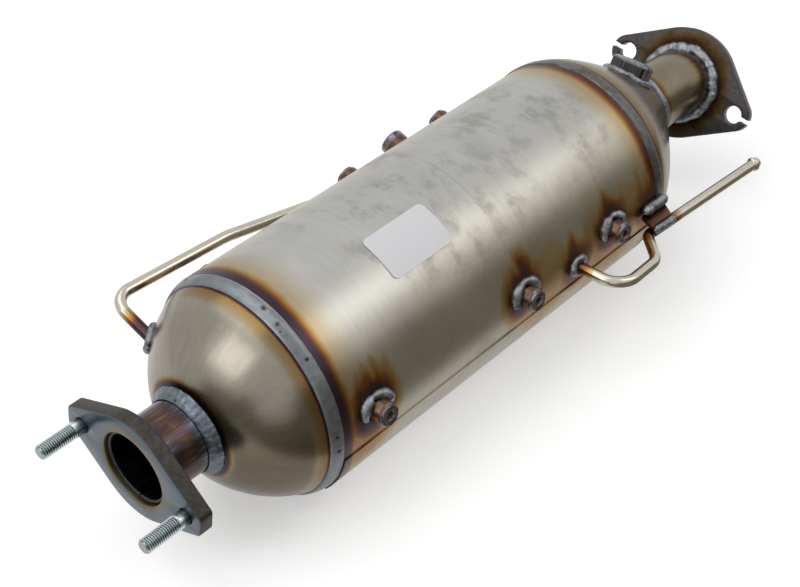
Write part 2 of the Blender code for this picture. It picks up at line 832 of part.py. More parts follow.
def inlet_flange_weld(material, envelope):
    """Bead round the neck on the flange's inner face, trimmed by the neck."""
    face = inlet_flange_place()
    seat = face @ Matrix.Translation((0, 0, -INLET_FLANGE_THICKNESS - SEAT_GAP))
    place = seat @ Matrix.Rotation(pi, 4, "X")
    tube = INLET_NECK_OD / 2 + SEAT_GAP
    inside = tube - INLET_NECK_WALL
    outline = [(inside, 0)]
    outline += [
        (tube + FLANGE_BEAD_REACH * out, FLANGE_BEAD_RISE * up) for out, up in ROUND_BEAD
    ]
    outline.append((inside, FLANGE_BEAD_RISE))
    return cut(turned("inlet_flange_weld", outline, NECK_SIDES, material, place), envelope)


def hex_place():
    """Placement of the hexagonal boss: on the cone, with local Z along its tilted axis."""
    share = (CONE_LENGTH - HEX_BACK - CONE_SHOULDER) / (CONE_LENGTH - CONE_SHOULDER)
    radius, height, shift = cone_ring(share, 0)
    lift = radius + shift * cos(radians(HEX_CLOCK - CONE_SHIFT_CLOCK))
    foot = Vector((INLET_RIM + height, 0, 0)) + lift * out_at(HEX_CLOCK)
    tilt = radians(HEX_TILT)
    axis = sin(tilt) * ALONG + cos(tilt) * out_at(HEX_CLOCK)
    return facing(foot, axis)


def hexagon(across_flats, height):
    """Hexagon with a corner on local X, at this height."""
    corner = across_flats / 2 / cos(pi / 6)
    return circle(corner, height, 6)


def hex_boss(material, *cutters):
    place = hex_place()
    bm = bmesh.new()
    rings = [
        hexagon(HEX_ACROSS_FLATS, -HEX_HEIGHT),
        hexagon(HEX_ACROSS_FLATS, HEX_HEIGHT - HEX_CHAMFER),
        hexagon(HEX_ACROSS_FLATS - 2 * HEX_CHAMFER, HEX_HEIGHT),
    ]
    skin(bm, rings, joined=False)
    sink = (HEX_RIM - HEX_BORE) / 2
    outline = (
        (HEX_SINK_RADIUS, HEX_HEIGHT - HEX_SINK_DEPTH),
        (HEX_RIM / 2 + sink, HEX_HEIGHT + sink),
    )
    rim = helper(turned("hex_countersink", outline, SMALL_SIDES, None, place, hollow=False))
    return cut(solid("hex_sensor_boss", bm, material, place), *cutters, rim)


def hex_envelope():
    """The hexagonal boss and its seat gap, which trims the beads round it."""
    bm = bmesh.new()
    across = HEX_ACROSS_FLATS + 2 * SEAT_GAP
    skin(bm, [hexagon(across, -HEX_HEIGHT * 2), hexagon(across, HEX_HEIGHT * 2)], joined=False)
    return helper(solid("hex_envelope", bm, None, hex_place()))


def hex_boss_weld(material, *envelopes):
    """Bead round the foot of the hexagonal boss, trimmed by what it seats on and reaches."""
    place = hex_place()
    bm = bmesh.new()
    outer = [
        (HEX_ACROSS_FLATS + 2 * BOSS_BEAD_REACH, -HEX_HEIGHT),
        (HEX_ACROSS_FLATS + 2 * BOSS_BEAD_REACH, HEX_BEAD_SLOPE - BOSS_BEAD_RISE),
        (HEX_ACROSS_FLATS + HEX_BEAD_SLOPE, BOSS_BEAD_RISE),
    ]
    skin(bm, [hexagon(*ring) for ring in outer], joined=False)
    return cut(solid("hex_boss_weld", bm, material, place), *envelopes)


def standoff(name, along, clock, material, envelope):
    """Radial boss with a tapped blind hole and a stepped end ring."""
    radius = STANDOFF_OD / 2
    hole = STANDOFF_HOLE / 2
    top = STANDOFF_PROUD
    outline = (
        (radius, -STANDOFF_PROUD),
        (radius, top - 2 * STANDOFF_STEP),
        (radius - STANDOFF_STEP, top - STANDOFF_STEP),
        (radius - STANDOFF_STEP, top),
        (hole + STANDOFF_STEP / 2, top),
        (hole, top - STANDOFF_STEP / 2),
        (hole, top - STANDOFF_HOLE_DEPTH),
    )
    place = facing(on_shell(along, SHELL_RADIUS, clock), out_at(clock))
    return cut(turned(name, outline, SMALL_SIDES, material, place, hollow=False), envelope)


def boss_bead(name, place, radius, reach, material, envelope):
    return fillet(
        name, radius, reach, BOSS_BEAD_RISE, SMALL_SIDES, material, place, envelope
    )


def open_bead(name, along, clock, material):
    """Bead that runs most of the way round a standoff and is open on the shell's lower side."""
    round_boss = STANDOFF_OD / 2 + SEAT_GAP + STANDOFF_BEAD_RADIUS
    points = []
    for i in range(OPEN_BEAD_STEPS + 1):
        angle = radians(STANDOFF_BEAD_DEGREES) * (i / OPEN_BEAD_STEPS - 1 / 2)
        up = copysign(1, clock) * round_boss * cos(angle) / SHELL_RADIUS
        spot = on_shell(along, SHELL_RADIUS + STANDOFF_BEAD_LIFT, clock - degrees(up))
        points.append(spot + round_boss * sin(angle) * ALONG)
    radii = [STANDOFF_BEAD_RADIUS] * len(points)
    for end, (_, share) in enumerate(BEAD_END):
        radii[end] *= share
        radii[-1 - end] *= share
    bm = bmesh.new()
    skin(bm, swept_rings(points, radii, BEAD_SIDES), joined=False)
    return solid(name, bm, material)


def standoffs(steel, bead, envelope):
    rows = (
        ("front", FRONT_STANDOFF_AT, FRONT_STANDOFFS_BACK, FRONT_STANDOFF_CLOCKS),
        ("rear", REAR_STANDOFF_AT, REAR_STANDOFFS_BACK, REAR_STANDOFF_CLOCKS),
    )
    for side, first, backs, clocks in rows:
        stations = [first] + [SHELL_LENGTH - back for back in backs]
        for number, (along, clock) in enumerate(zip(stations, clocks), 1):
            standoff(f"{side}_standoff_{number}", along, clock, steel, envelope)
            name = f"{side}_standoff_weld_{number}"
            cut(open_bead(name, along, clock, bead), envelope)


def rear_sensor_place():
    clock = REAR_SENSOR_CLOCK
    return facing(on_shell(REAR_SENSOR_AT, SHELL_RADIUS, clock), out_at(clock))


def rear_sensor_boss(steel, bead, envelope):
    radius = REAR_SENSOR_OD / 2
    bore = REAR_SENSOR_BORE / 2
    outline = (
        (radius, -REAR_SENSOR_PROUD),
        (radius, REAR_SENSOR_PROUD - STANDOFF_STEP),
        (radius - STANDOFF_STEP, REAR_SENSOR_PROUD),
        (bore + STANDOFF_STEP, REAR_SENSOR_PROUD),
        (bore, REAR_SENSOR_PROUD - STANDOFF_STEP),
        (bore, -REAR_SENSOR_PROUD),
    )
    place = rear_sensor_place()
    cut(turned("rear_sensor_boss", outline, SMALL_SIDES, steel, place), envelope)
    boss_bead("rear_sensor_weld", place, radius, BOSS_BEAD_REACH, bead, envelope)


def hose_end(points):
    """Adds a hose bead and a nose past the path's end. Returns the points and their swell."""
    heading = (points[-1] - points[-2]).normalized()
    steps = (
        (HOSE_BEAD_LENGTH / 3, HOSE_BEAD_RISE),
        (HOSE_BEAD_LENGTH * 2 / 3, HOSE_BEAD_RISE),
        (HOSE_BEAD_LENGTH, 0),
        (HOSE_BEAD_LENGTH + HOSE_NOSE, -(PIPE_OD - PIPE_BORE) / 4),
    )
    swell = [0] * len(points) + [rise for _, rise in steps]
    return points + [points[-1] + ahead * heading for ahead, _ in steps], swell


def pressure_pipe(name, corners, bends, material):
    points, swell = hose_end(rounded_route(corners, bends, PIPE_BEND_STEPS))
    outer = [PIPE_OD / 2 + rise for rise in swell]
    inner = [PIPE_BORE / 2] * len(points)
    return swept_tube(name, points, outer, inner, PIPE_SIDES, material)


def front_pipe_point(past, lift, drop):
    """Point this far past the front pipe's port, off the shell and below the port."""
    down = ALONG.cross(out_at(FRONT_PIPE_CLOCK))
    return on_shell(FRONT_PIPE_AT + past, SHELL_RADIUS + lift, FRONT_PIPE_CLOCK) + drop * down


def front_pipe(material):
    """Pipe that leaves the shell, loops outwards, and runs on past the inlet end."""
    corners = (
        front_pipe_point(0, -SHELL_WALL, 0),
        front_pipe_point(*FRONT_LOOP_START),
        front_pipe_point(*FRONT_LOOP_END),
        front_pipe_point(*FRONT_TAIL_START),
        front_pipe_point(*FRONT_TAIL_END),
    )
    return pressure_pipe("front_pressure_pipe", corners, FRONT_PIPE_BENDS, material)


def rear_pipe_point(along, lift, clock):
    return on_shell(along, SHELL_RADIUS + lift, clock)


def rear_pipe(material):
    """Pipe that leaves the dome, turns back along the shell and closes in on it."""
    clock = REAR_PIPE_CORNER[1]
    inner_end = dome_radius_at(REAR_PIPE_AHEAD) - SHELL_WALL - REAR_PIPE_INSERT
    corners = (
        on_shell(-REAR_PIPE_AHEAD, inner_end, clock),
        rear_pipe_point(-REAR_PIPE_AHEAD, *REAR_PIPE_CORNER),
        rear_pipe_point(REAR_PIPE_KINK_AT, *REAR_PIPE_KINK),
        rear_pipe_point(REAR_PIPE_END_AT, *REAR_PIPE_END),
    )
    return pressure_pipe("rear_pressure_pipe", corners, REAR_PIPE_BENDS, material)


def rear_run_at(along):
    """Radius and clock angle of the rear pipe's last straight run at this station."""
    kink = rear_pipe_point(REAR_PIPE_KINK_AT, *REAR_PIPE_KINK)
    end = rear_pipe_point(REAR_PIPE_END_AT, *REAR_PIPE_END)
    share = (along - REAR_PIPE_KINK_AT) / (REAR_PIPE_END_AT - REAR_PIPE_KINK_AT)
    point = kink.lerp(end, share)
    return hypot(point.y, point.z), degrees(atan2(-point.y, point.z))


def dome_radius_at(height):
    """Radius of the dome's outside at this height above the shell's rim."""
    mouth = OUTLET_NECK_OD / 2 + SEAT_GAP
    share = 1 - (height / DOME_LENGTH) ** DOME_FULLNESS
    return mouth + (SKIRT_RADIUS - mouth) * share ** (1 / DOME_FULLNESS)


def front_port_place():
    heading = front_pipe_point(*FRONT_LOOP_START) - front_pipe_point(0, -SHELL_WALL, 0)
    return facing(front_pipe_point(0, 0, 0), heading)


def rear_port_place():
    clock = REAR_PIPE_CORNER[1]
    port = on_shell(-REAR_PIPE_AHEAD, dome_radius_at(REAR_PIPE_AHEAD), clock)
    return facing(port, out_at(clock))


def bar_bead(name, start, end, radius, material):
    """Straight run of weld with rounded ends."""
    heading = (end - start).normalized()
    points = [start + radius * ahead * heading for ahead, _ in BEAD_END]
    points += [end - radius * ahead * heading for ahead, _ in reversed(BEAD_END)]
    radii = [radius * width for _, width in BEAD_END]
    radii += radii[::-1]
    bm = bmesh.new()
    skin(bm, swept_rings(points, radii, BEAD_SIDES), joined=False)
    return solid(name, bm, material)


def bracket(name, corners, material):
    """Flat plate with these four corners on its middle."""
    across = (corners[1] - corners[0]).cross(corners[-1] - corners[0]).normalized()
    across *= BRACKET_THICKNESS / 2
    bm = bmesh.new()
    skin(bm, [[p - across for p in corners], [p + across for p in corners]], joined=False)
    return solid(name, bm, material)


def front_tail_at(past):
    """Point on the centre line of the front pipe's straight tail, this far past its port."""
    start = front_pipe_point(*FRONT_TAIL_START)
    end = front_pipe_point(*FRONT_TAIL_END)
    share = (past - FRONT_TAIL_START[0]) / (FRONT_TAIL_END[0] - FRONT_TAIL_START[0])
    return start.lerp(end, share)


def front_bracket(steel, bead):
    """Plate from the shell to the top of the front pipe's tail, with a bead along each edge."""
    out = out_at(FRONT_PIPE_CLOCK)
    up = out.cross(ALONG)
    root_lift = SEAT_GAP + BRACKET_ROOT_LIFT
    root = [front_pipe_point(past, root_lift, 0) for past in FRONT_BRACKET_ROOT]
    pipe = [front_tail_at(past) for past in FRONT_BRACKET_TIP]
    above = PIPE_OD / 2 + SEAT_GAP + BRACKET_THICKNESS / 2
    edge = [centre + above * up + FRONT_BRACKET_LAP * out for centre in pipe]
    bracket("front_pipe_bracket", (root[0], root[1], edge[1], edge[0]), steel)
    radius = SHELL_RADIUS + SEAT_GAP + BRACKET_BEAD_RADIUS
    rise = BRACKET_THICKNESS / 2 + SEAT_GAP + BRACKET_BEAD_RADIUS
    clock = FRONT_PIPE_CLOCK - degrees(asin(rise / radius))
    start, end = [on_shell(FRONT_PIPE_AT + past, radius, clock) for past in FRONT_BRACKET_ROOT]
    bar_bead("front_bracket_weld", start, end, BRACKET_BEAD_RADIUS, bead)
    aside = FRONT_BRACKET_LAP + SEAT_GAP + PIPE_RUN_BEAD_RADIUS
    reach = PIPE_OD / 2 + SEAT_GAP + PIPE_RUN_BEAD_RADIUS
    above = (reach**2 - aside**2) ** (1 / 2)
    start, end = [centre + above * up + aside * out for centre in pipe]
    bar_bead("front_pipe_bead", start, end, PIPE_RUN_BEAD_RADIUS, bead)


def rear_bracket(steel):
    """Plate under the rear pipe's last run, at the clock angle of its middle."""
    stations = [REAR_PIPE_END_AT - back for back in REAR_BRACKET_BACK]
    clock = rear_run_at(sum(stations) / 2)[1]
    root_radius = SHELL_RADIUS + SEAT_GAP + BRACKET_ROOT_LIFT
    edge_radii = [rear_run_at(along)[0] - PIPE_OD / 2 - SEAT_GAP for along in stations]
    corners = [on_shell(along, root_radius, clock) for along in stations]
    corners += [on_shell(stations[i], edge_radii[i], clock) for i in (1, 0)]
    bracket("rear_pipe_bracket", corners, steel)


def carried(name, place, *members):
    """Empty that carries these pieces, so that they can be moved as one."""
    carrier = bpy.data.objects.new(name, None)
    bpy.context.scene.collection.objects.link(carrier)
    carrier.matrix_world = place
    for member in members:
        member.parent = carrier
        member.matrix_parent_inverse = place.inverted()


def main():
    clear_scene()
    steel = finish("brushed stainless", (0.55, 0.53, 0.48), 0.34)
    tinted = finish("heat tinted stainless", (0.42, 0.36, 0.28), 0.32)
    bead = finish("weld bead", (0.36, 0.37, 0.38), 0.42)
    flange_steel = finish("flange steel", (0.33, 0.30, 0.28), 0.45)
    stud_steel = finish("zinc plated stud", (0.62, 0.64, 0.68), 0.28)
    pipe_steel = finish("bright pipe", (0.66, 0.62, 0.54), 0.24)
    boss_steel = finish("copper tinted boss", (0.46, 0.33, 0.25), 0.36)
    ceramic = finish("filter ceramic", (0.16, 0.15, 0.14), 0.9, 0.0)
    coated = finish("coated ceramic", (0.34, 0.27, 0.20), 0.9, 0.0)
    fibre = finish("fibre mat", (0.75, 0.73, 0.68), 0.95, 0.0)
    paper = finish("label paper", (0.85, 0.84, 0.80), 0.6, 0.0)

    body = shell_envelope()
    dome = dome_envelope()
    cone = cone_envelope()
    clear = PIPE_OD / 2 + SEAT_GAP
    front_port = drill("front_pipe_port", front_port_place(), clear, PORT_DEPTH)
    rear_port = drill("rear_pipe_port", rear_port_place(), clear, PORT_DEPTH)
    sensor_port = drill("rear_sensor_port", rear_sensor_place(), REAR_SENSOR_BORE / 2, PORT_DEPTH)
    hex_bore = drill("hex_bore", hex_place(), HEX_BORE / 2, PORT_DEPTH)

    filter_shell(steel, (front_port, sensor_port))
    shell_seam(steel)
    blank_label(paper)
    canned_bricks(ceramic, coated, fibre, steel)

    outlet_dome(tinted, rear_port)
    outlet_place = coaxial(OUTLET_RIM, -1)
    weld_band("outlet_dome_weld", OUTLET_BAND_DROPS, outlet_place, dome, bead)
    outlet_neck(tinted)
    neck_foot = coaxial(OUTLET_RIM - DOME_LENGTH, -1)
    fillet(
        "outlet_neck_weld",
        OUTLET_NECK_OD / 2,
        OUTLET_BEAD_REACH,
        OUTLET_BEAD_RISE,
        NECK_SIDES,
        bead,
        neck_foot,
        dome,
    )
    plate_out = outlet_flange(flange_steel)
    bore_weld = outlet_bore_weld(bead)
    studs = outlet_studs(stud_steel)
    carried("outlet_face", coaxial(0, -1), plate_out, bore_weld, *studs)

    inlet_cone(tinted, hex_bore)
    weld_band("inlet_cone_weld", INLET_BAND_DROPS, coaxial(INLET_RIM), cone, bead)
    inlet_neck(steel)
    cone_foot = facing(mouth_point(), ALONG, flat=Vector((0, 0, 1)))
    hexagon_zone = hex_envelope()
    fillet(
        "inlet_neck_weld",
        INLET_NECK_OD / 2,
        INLET_BEAD_REACH,
        INLET_BEAD_RISE,
        NECK_SIDES,
        bead,
        cone_foot,
        cone,
        hexagon_zone,
    )
    neck = neck_envelope()
    plate_in = inlet_flange(flange_steel, neck)
    plate_weld = inlet_flange_weld(bead, neck)
    carried("inlet_face", inlet_flange_place(), plate_in, plate_weld)
    fillet_radius = INLET_NECK_OD / 2 + INLET_BEAD_REACH + 2 * SEAT_GAP
    fillet_zone = drill("inlet_fillet_zone", cone_foot, fillet_radius, PORT_DEPTH, NECK_SIDES)
    hex_boss(boss_steel, cone, neck, hex_bore)
    hex_boss_weld(bead, cone, hexagon_zone, fillet_zone)

    standoffs(boss_steel, bead, body)
    rear_sensor_boss(boss_steel, bead, body)
    reach = PIPE_BEAD_REACH
    front_pipe(pipe_steel)
    boss_bead("front_pipe_weld", front_port_place(), PIPE_OD / 2, reach, bead, body)
    front_bracket(tinted, bead)
    rear_pipe(pipe_steel)
    boss_bead("rear_pipe_weld", rear_port_place(), PIPE_OD / 2, reach, bead, dome)
    rear_bracket(tinted)


main()
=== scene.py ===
"""Looks of a welded stainless exhaust filter canister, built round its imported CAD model.

Metres, +Z up. The canister's axis is the X axis, and the origin is the centre of the outlet
flange's machined face. Angles round the shell are clock angles in degrees: 0 is on top, 90 faces
-Y, -90 faces +Y. Distances along the shell are measured from its outlet rim.
"""

from math import acos, asin, atan2, cos, degrees, floor, hypot, pi, radians, sin, tan

import bmesh
import bpy
from bpy.props import FloatProperty, FloatVectorProperty, IntProperty, PointerProperty
from mathutils import Matrix, Quaternion, Vector, noise


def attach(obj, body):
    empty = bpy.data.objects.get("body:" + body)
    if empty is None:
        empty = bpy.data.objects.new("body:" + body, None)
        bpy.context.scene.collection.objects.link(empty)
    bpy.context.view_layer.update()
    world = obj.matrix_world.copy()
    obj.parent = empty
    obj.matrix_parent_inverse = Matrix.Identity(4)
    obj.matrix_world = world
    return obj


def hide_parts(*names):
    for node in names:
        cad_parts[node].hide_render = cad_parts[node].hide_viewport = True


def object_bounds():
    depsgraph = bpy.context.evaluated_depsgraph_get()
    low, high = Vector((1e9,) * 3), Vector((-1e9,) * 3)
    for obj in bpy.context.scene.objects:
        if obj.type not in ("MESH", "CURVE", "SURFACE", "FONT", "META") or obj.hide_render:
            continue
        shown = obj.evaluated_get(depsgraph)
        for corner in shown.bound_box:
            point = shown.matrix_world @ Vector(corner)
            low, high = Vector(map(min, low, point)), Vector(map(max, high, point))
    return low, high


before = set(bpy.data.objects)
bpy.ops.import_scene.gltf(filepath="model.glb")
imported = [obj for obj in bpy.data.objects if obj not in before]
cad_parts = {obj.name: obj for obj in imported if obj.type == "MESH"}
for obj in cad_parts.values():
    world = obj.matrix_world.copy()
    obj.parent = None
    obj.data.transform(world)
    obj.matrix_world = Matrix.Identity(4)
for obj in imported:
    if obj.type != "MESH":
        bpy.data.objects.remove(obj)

bl_info = {
    "name": "Exhaust Filter Canister",
    "version": (1, 0, 0),
    "blender": (4, 5, 0),
    "location": "3D View > Sidebar > Canister",
    "description": "Builds the finished pieces of a welded exhaust filter canister and its studio",
    "category": "Object",
}

CAD_BOX = [list(corner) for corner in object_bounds()]
ALONG = Vector((1, 0, 0))
SEAT_GAP = 0.0003
SMOOTH_ANGLE = radians(34)
# Places that more than one piece needs: height of the cone's straight lip, clock angle and tilt
# of the hexagon, the rear port's distance behind the rim and its clock angle, the station of the
# rear pipe's kink, the round sensor boss's clock angle, and how far a boring tool reaches
CONE_LIP = 0.009
HEX_CLOCK = 2.0
HEX_TILT = radians(31.0)
REAR_PORT_BACK = 0.0278
REAR_PORT_CLOCK = -71.0
REAR_KINK_AT = 0.0668
SENSOR_CLOCK = -71.0
BORE_REACH = 0.02


def length(name, default, description):
    return FloatProperty(
        name=name, description=description, default=default, subtype="DISTANCE", unit="LENGTH", precision=5
    )


def clock(name, default, description):
    return FloatProperty(name=name, description=description, default=default)


def colour(name, default, description):
    return FloatVectorProperty(
        name=name, description=description, default=default, size=3, min=0, max=1, subtype="COLOR"
    )


def count(name, default, description):
    return IntProperty(name=name, description=description, default=default, min=3)


class CanisterSizes(bpy.types.PropertyGroup):
    """Sizes of the rolled body and its two ends."""

    shell_od: length("Shell diameter", 0.155, "Outside diameter of the rolled shell")
    shell_length: length("Shell length", 0.3177, "Length of the shell from rim to rim")
    wall: length("Sheet thickness", 0.0015, "Thickness of the shell, dome and cone sheet")
    outlet_reach: length("Outlet reach", 0.0976, "Distance from the outlet face to the shell's rim")
    skirt: length("Skirt depth", 0.008, "How far the dome and cone reach into the shell")
    dome_length: length("Dome length", 0.054, "Length of the outlet dome beyond the shell")
    dome_fullness: FloatProperty(
        name="Dome fullness", description="Power of the dome's rounded outline", default=1.56
    )
    cone_length: length("Cone length", 0.0823, "Length of the inlet cone beyond the shell")
    cone_shift: length("Cone shift", 0.0082, "How far the cone's mouth stands off the axis")
    cone_shift_clock: clock("Cone shift angle", 14.0, "Clock angle the cone's mouth moves towards")
    band_width: length("Weld band width", 0.0089, "Width of the wide beads at the shell's ends")
    seam_lift: length("Seam thickness", 0.0006, "Thickness of the shell's lapped edge")
    sides: count("Faces round the body", 224, "Faces round the shell, dome and cone")


class NeckSizes(bpy.types.PropertyGroup):
    """Sizes of the two necks, their flanges and the studs."""

    outlet_od: length("Outlet neck diameter", 0.050, "Outside diameter of the outlet neck")
    inlet_od: length("Inlet neck diameter", 0.0505, "Outside diameter of the inlet neck")
    wall: length("Tube wall", 0.0018, "Wall of both necks")
    insert: length("Tube insert", 0.004, "How far each neck reaches into its dome or cone")
    recess: length("Tube recess", 0.005, "How far each neck ends below its flange's face")
    bend_radius: length("Bend radius", 0.060, "Centre line radius of the inlet neck's bend")
    bend: clock("Bend angle", 31.0, "Angle the inlet neck turns through")
    bend_clock: clock("Bend direction", 202.0, "Clock angle the inlet neck bends towards")
    outlet_plate: length("Outlet flange thickness", 0.010, "Thickness of the outlet flange")
    inlet_plate: length("Inlet flange thickness", 0.012, "Thickness of the inlet flange")
    bolt_spacing_out: length("Outlet bolt spacing", 0.090, "Distance between the two studs")
    bolt_spacing_in: length("Inlet bolt spacing", 0.098, "Distance between the two keyholes")
    lobe_clock: clock("Outlet lobe angle", 99.0, "Clock angle of the outlet flange's front lobe")
    lobe_twist: clock("Inlet lobe twist", 10.3, "Twist of the inlet flange past the horizontal")
    stud_diameter: length("Stud diameter", 0.010, "Outside diameter of the stud thread")
    stud_pitch: length("Stud pitch", 0.0015, "Distance between two turns of the stud thread")
    stud_proud: length("Stud length", 0.0315, "How far the studs stand out of the flange")


class FittingSizes(bpy.types.PropertyGroup):
    """Sizes of the bosses, pipes, brackets, beads, bricks and label."""

    standoff_od: length("Standoff diameter", 0.0165, "Outside diameter of the threaded standoffs")
    standoff_proud: length("Standoff height", 0.0116, "How far the standoffs stand off the shell")
    standoff_bore: length("Standoff thread", 0.0055, "Diameter of the standoffs' tapped holes")
    sensor_od: length("Sensor boss diameter", 0.019, "Outside diameter of the round sensor boss")
    sensor_proud: length("Sensor boss height", 0.0145, "How far the round sensor boss stands off")
    sensor_bore: length("Sensor bore", 0.0105, "Bore of both sensor bosses")
    hex_flats: length("Hexagon across flats", 0.028, "Width of the hexagonal boss across its flats")
    hex_height: length("Hexagon height", 0.0105, "Height of the hexagonal boss above the cone")
    pipe_od: length("Pipe diameter", 0.008, "Outside diameter of the pressure pipes")
    pipe_bore: length("Pipe bore", 0.006, "Bore of the pressure pipes")
    bracket: length("Bracket thickness", 0.003, "Thickness of the pipe brackets")
    ripple: length("Bead ripple", 0.0013, "Distance between two ripples of a weld bead")
    cell: length("Brick cell pitch", 0.0021, "Distance between two cells of the bricks")
    brick_diameter: length("Brick diameter", 0.1438, "Diameter of both bricks")
    label_lift: length("Label thickness", 0.0003, "Thickness of the paper label")
    label_corner: length("Label corner", 0.004, "Radius of the label's corners")


class FinishColours(bpy.types.PropertyGroup):
    """Colours of the finishes."""

    shell: colour("Shell steel", (0.405, 0.40, 0.38), "Brushed stainless of the shell")
    dome: colour("Dome steel", (0.225, 0.208, 0.170), "Smooth stainless of the outlet dome")
    cone: colour("Cone steel", (0.110, 0.086, 0.058), "Stainless of the inlet cone")
    tube: colour("Tube steel", (0.185, 0.162, 0.112), "Stainless of the necks")
    bead: colour("Weld bead", (0.25, 0.275, 0.295), "Solidified weld metal")
    flange: colour("Flange steel", (0.062, 0.056, 0.048), "Plain steel of the flanges")
    stud: colour("Zinc", (0.52, 0.585, 0.60), "Zinc plating of the studs")
    pipe: colour("Pipe steel", (0.50, 0.46, 0.385), "Bright stainless of the pipes")
    boss: colour("Boss steel", (0.115, 0.066, 0.042), "Copper tinted steel of the bosses")
    filter: colour("Filter ceramic", (0.11, 0.105, 0.10), "Sooty cordierite of the filter brick")
    catalyst: colour("Catalyst ceramic", (0.26, 0.20, 0.145), "Coated cordierite of the catalyst brick")
    fibre: colour("Mat fibre", (0.66, 0.64, 0.58), "Fibre of the support mats")
    paper: colour("Label paper", (0.70, 0.70, 0.72), "White paper of the label")
    floor: colour("Studio floor", (0.86, 0.86, 0.86), "Pale floor under the canister")


def sizes():
    return bpy.context.scene.canister_sizes


def necks():
    return bpy.context.scene.canister_necks


def fittings():
    return bpy.context.scene.canister_fittings


def colours():
    return bpy.context.scene.canister_colours


def body_radius():
    return sizes().shell_od / 2


def skirt_radius():
    return body_radius() - sizes().wall - SEAT_GAP


def inlet_rim():
    return sizes().outlet_reach + sizes().shell_length


def out_at(angle):
    """Unit vector out of the shell at this clock angle."""
    return Vector((0, -sin(radians(angle)), cos(radians(angle))))


def on_shell(along, radius, angle):
    """Point this far along the shell, at a radius and a clock angle."""
    return Vector((sizes().outlet_reach + along, 0, 0)) + radius * out_at(angle)


def facing(point, direction, flat=ALONG):
    """Placement with local Z along direction and local X as near as can be to flat."""
    z = Vector(direction).normalized()
    x = (flat - flat.dot(z) * z).normalized()
    return Matrix.Translation(point) @ Matrix((x, z.cross(x), z)).transposed().to_4x4()


def coaxial(along, direction=1):
    return facing(Vector((along, 0, 0)), direction * ALONG, flat=Vector((0, 0, 1)))


class Web:
    """Adds nodes to a tree and joins them up."""

    def __init__(self, tree):
        self.tree = tree

    def put(self, socket, value):
        if isinstance(value, bpy.types.NodeSocket):
            self.tree.links.new(value, socket)
        elif value is not None:
            socket.default_value = value

    def add(self, kind, inputs=(), **settings):
        node = self.tree.nodes.new(kind)
        for name, value in settings.items():
            setattr(node, name, value)
        pairs = inputs.items() if isinstance(inputs, dict) else enumerate(inputs)
        for key, value in pairs:
            self.put(node.inputs[key], value)
        return node

    def math(self, operation, *values, clamp=False):
        return self.add("ShaderNodeMath", values, operation=operation, use_clamp=clamp).outputs[0]

    def times(self, one, two):
        return self.math("MULTIPLY", one, two)

    def minus(self, one, two):
        return self.math("SUBTRACT", one, two)

    def ratio(self, one, two, clamp=False):
        return self.math("DIVIDE", one, two, clamp=clamp)

    def size(self, value):
        """The value without its sign."""
        return self.math("ABSOLUTE", value)

    def total(self, *values):
        result = values[0]
        for value in values[1:]:
            result = self.math("ADD", result, value)
        return result

    def weigh(self, start, *pairs):
        """A value plus others, each times its weight."""
        return self.total(start, *[self.times(value, weight) for value, weight in pairs])

    def most(self, *values):
        result = values[0]
        for value in values[1:]:
            result = self.math("MAXIMUM", result, value)
        return result

    def vector(self, operation, *values):
        node = self.add("ShaderNodeVectorMath", values, operation=operation)
        single = operation in ("LENGTH", "DISTANCE", "DOT_PRODUCT")
        return node.outputs["Value" if single else "Vector"]

    def point(self):
        """The surface's point in Object coordinates."""
        return self.add("ShaderNodeTexCoord").outputs["Object"]

    def local(self, point, place):
        """The point as it is seen from a placement."""
        node = self.add("ShaderNodeMapping", {"Vector": point}, vector_type="TEXTURE")
        node.inputs["Location"].default_value = place.to_translation()
        node.inputs["Rotation"].default_value = place.to_euler()
        return node.outputs[0]

    def reach(self, x, y):
        """Length of a flat vector."""
        return self.vector("LENGTH", self.join(x, y, 0.0))

    def split(self, vector):
        return self.add("ShaderNodeSeparateXYZ", (vector,)).outputs

    def join(self, x, y, z):
        return self.add("ShaderNodeCombineXYZ", (x, y, z)).outputs[0]

    def fade(self, value, start, end, low=0.0, high=1.0):
        """Smooth step of a value from start to end."""
        inputs = (value, start, end, low, high)
        node = self.add("ShaderNodeMapRange", (), interpolation_type="SMOOTHSTEP")
        for key, item in zip(("Value", "From Min", "From Max", "To Min", "To Max"), inputs):
            self.put(node.inputs[key], item)
        return node.outputs[0]

    def cloud(self, vector, scale, detail=3.0, roughness=0.55):
        """Noise from 0 to 1."""
        inputs = {"Vector": vector, "Scale": scale, "Detail": detail, "Roughness": roughness}
        return self.add("ShaderNodeTexNoise", inputs).outputs[0]

    def circle(self, sides, radius):
        node = self.add("GeometryNodeCurvePrimitiveCircle", {"Resolution": sides, "Radius": radius})
        return node.outputs[0]

    def spots(self, vector, scale, size):
        """Round spots, 1 in their middles and 0 between them. size is a share of their spacing."""
        node = self.add("ShaderNodeTexVoronoi", {"Vector": vector, "Scale": scale})
        return self.fade(node.outputs["Distance"], size, size * 0.4)

    def ramp(self, value, stops):
        node = self.add("ShaderNodeValToRGB", (value,))
        elements = node.color_ramp.elements
        for number, (at, shade) in enumerate(stops):
            element = elements[number] if number < 2 else elements.new(at)
            element.position = at
            element.color = (*shade, 1)
        return node.outputs[0]

    def mix(self, factor, one, two):
        node = self.add("ShaderNodeMix", (), data_type="RGBA", clamp_factor=True)
        for socket, value in ((0, factor), (6, one), (7, two)):
            if hasattr(value, "__len__"):
                value = (*value, 1)
            self.put(node.inputs[socket], value)
        return node.outputs[2]

    def shade(self, one, value):
        """A colour darkened or lightened by a value."""
        return self.vector("SCALE", one, None, None, value)


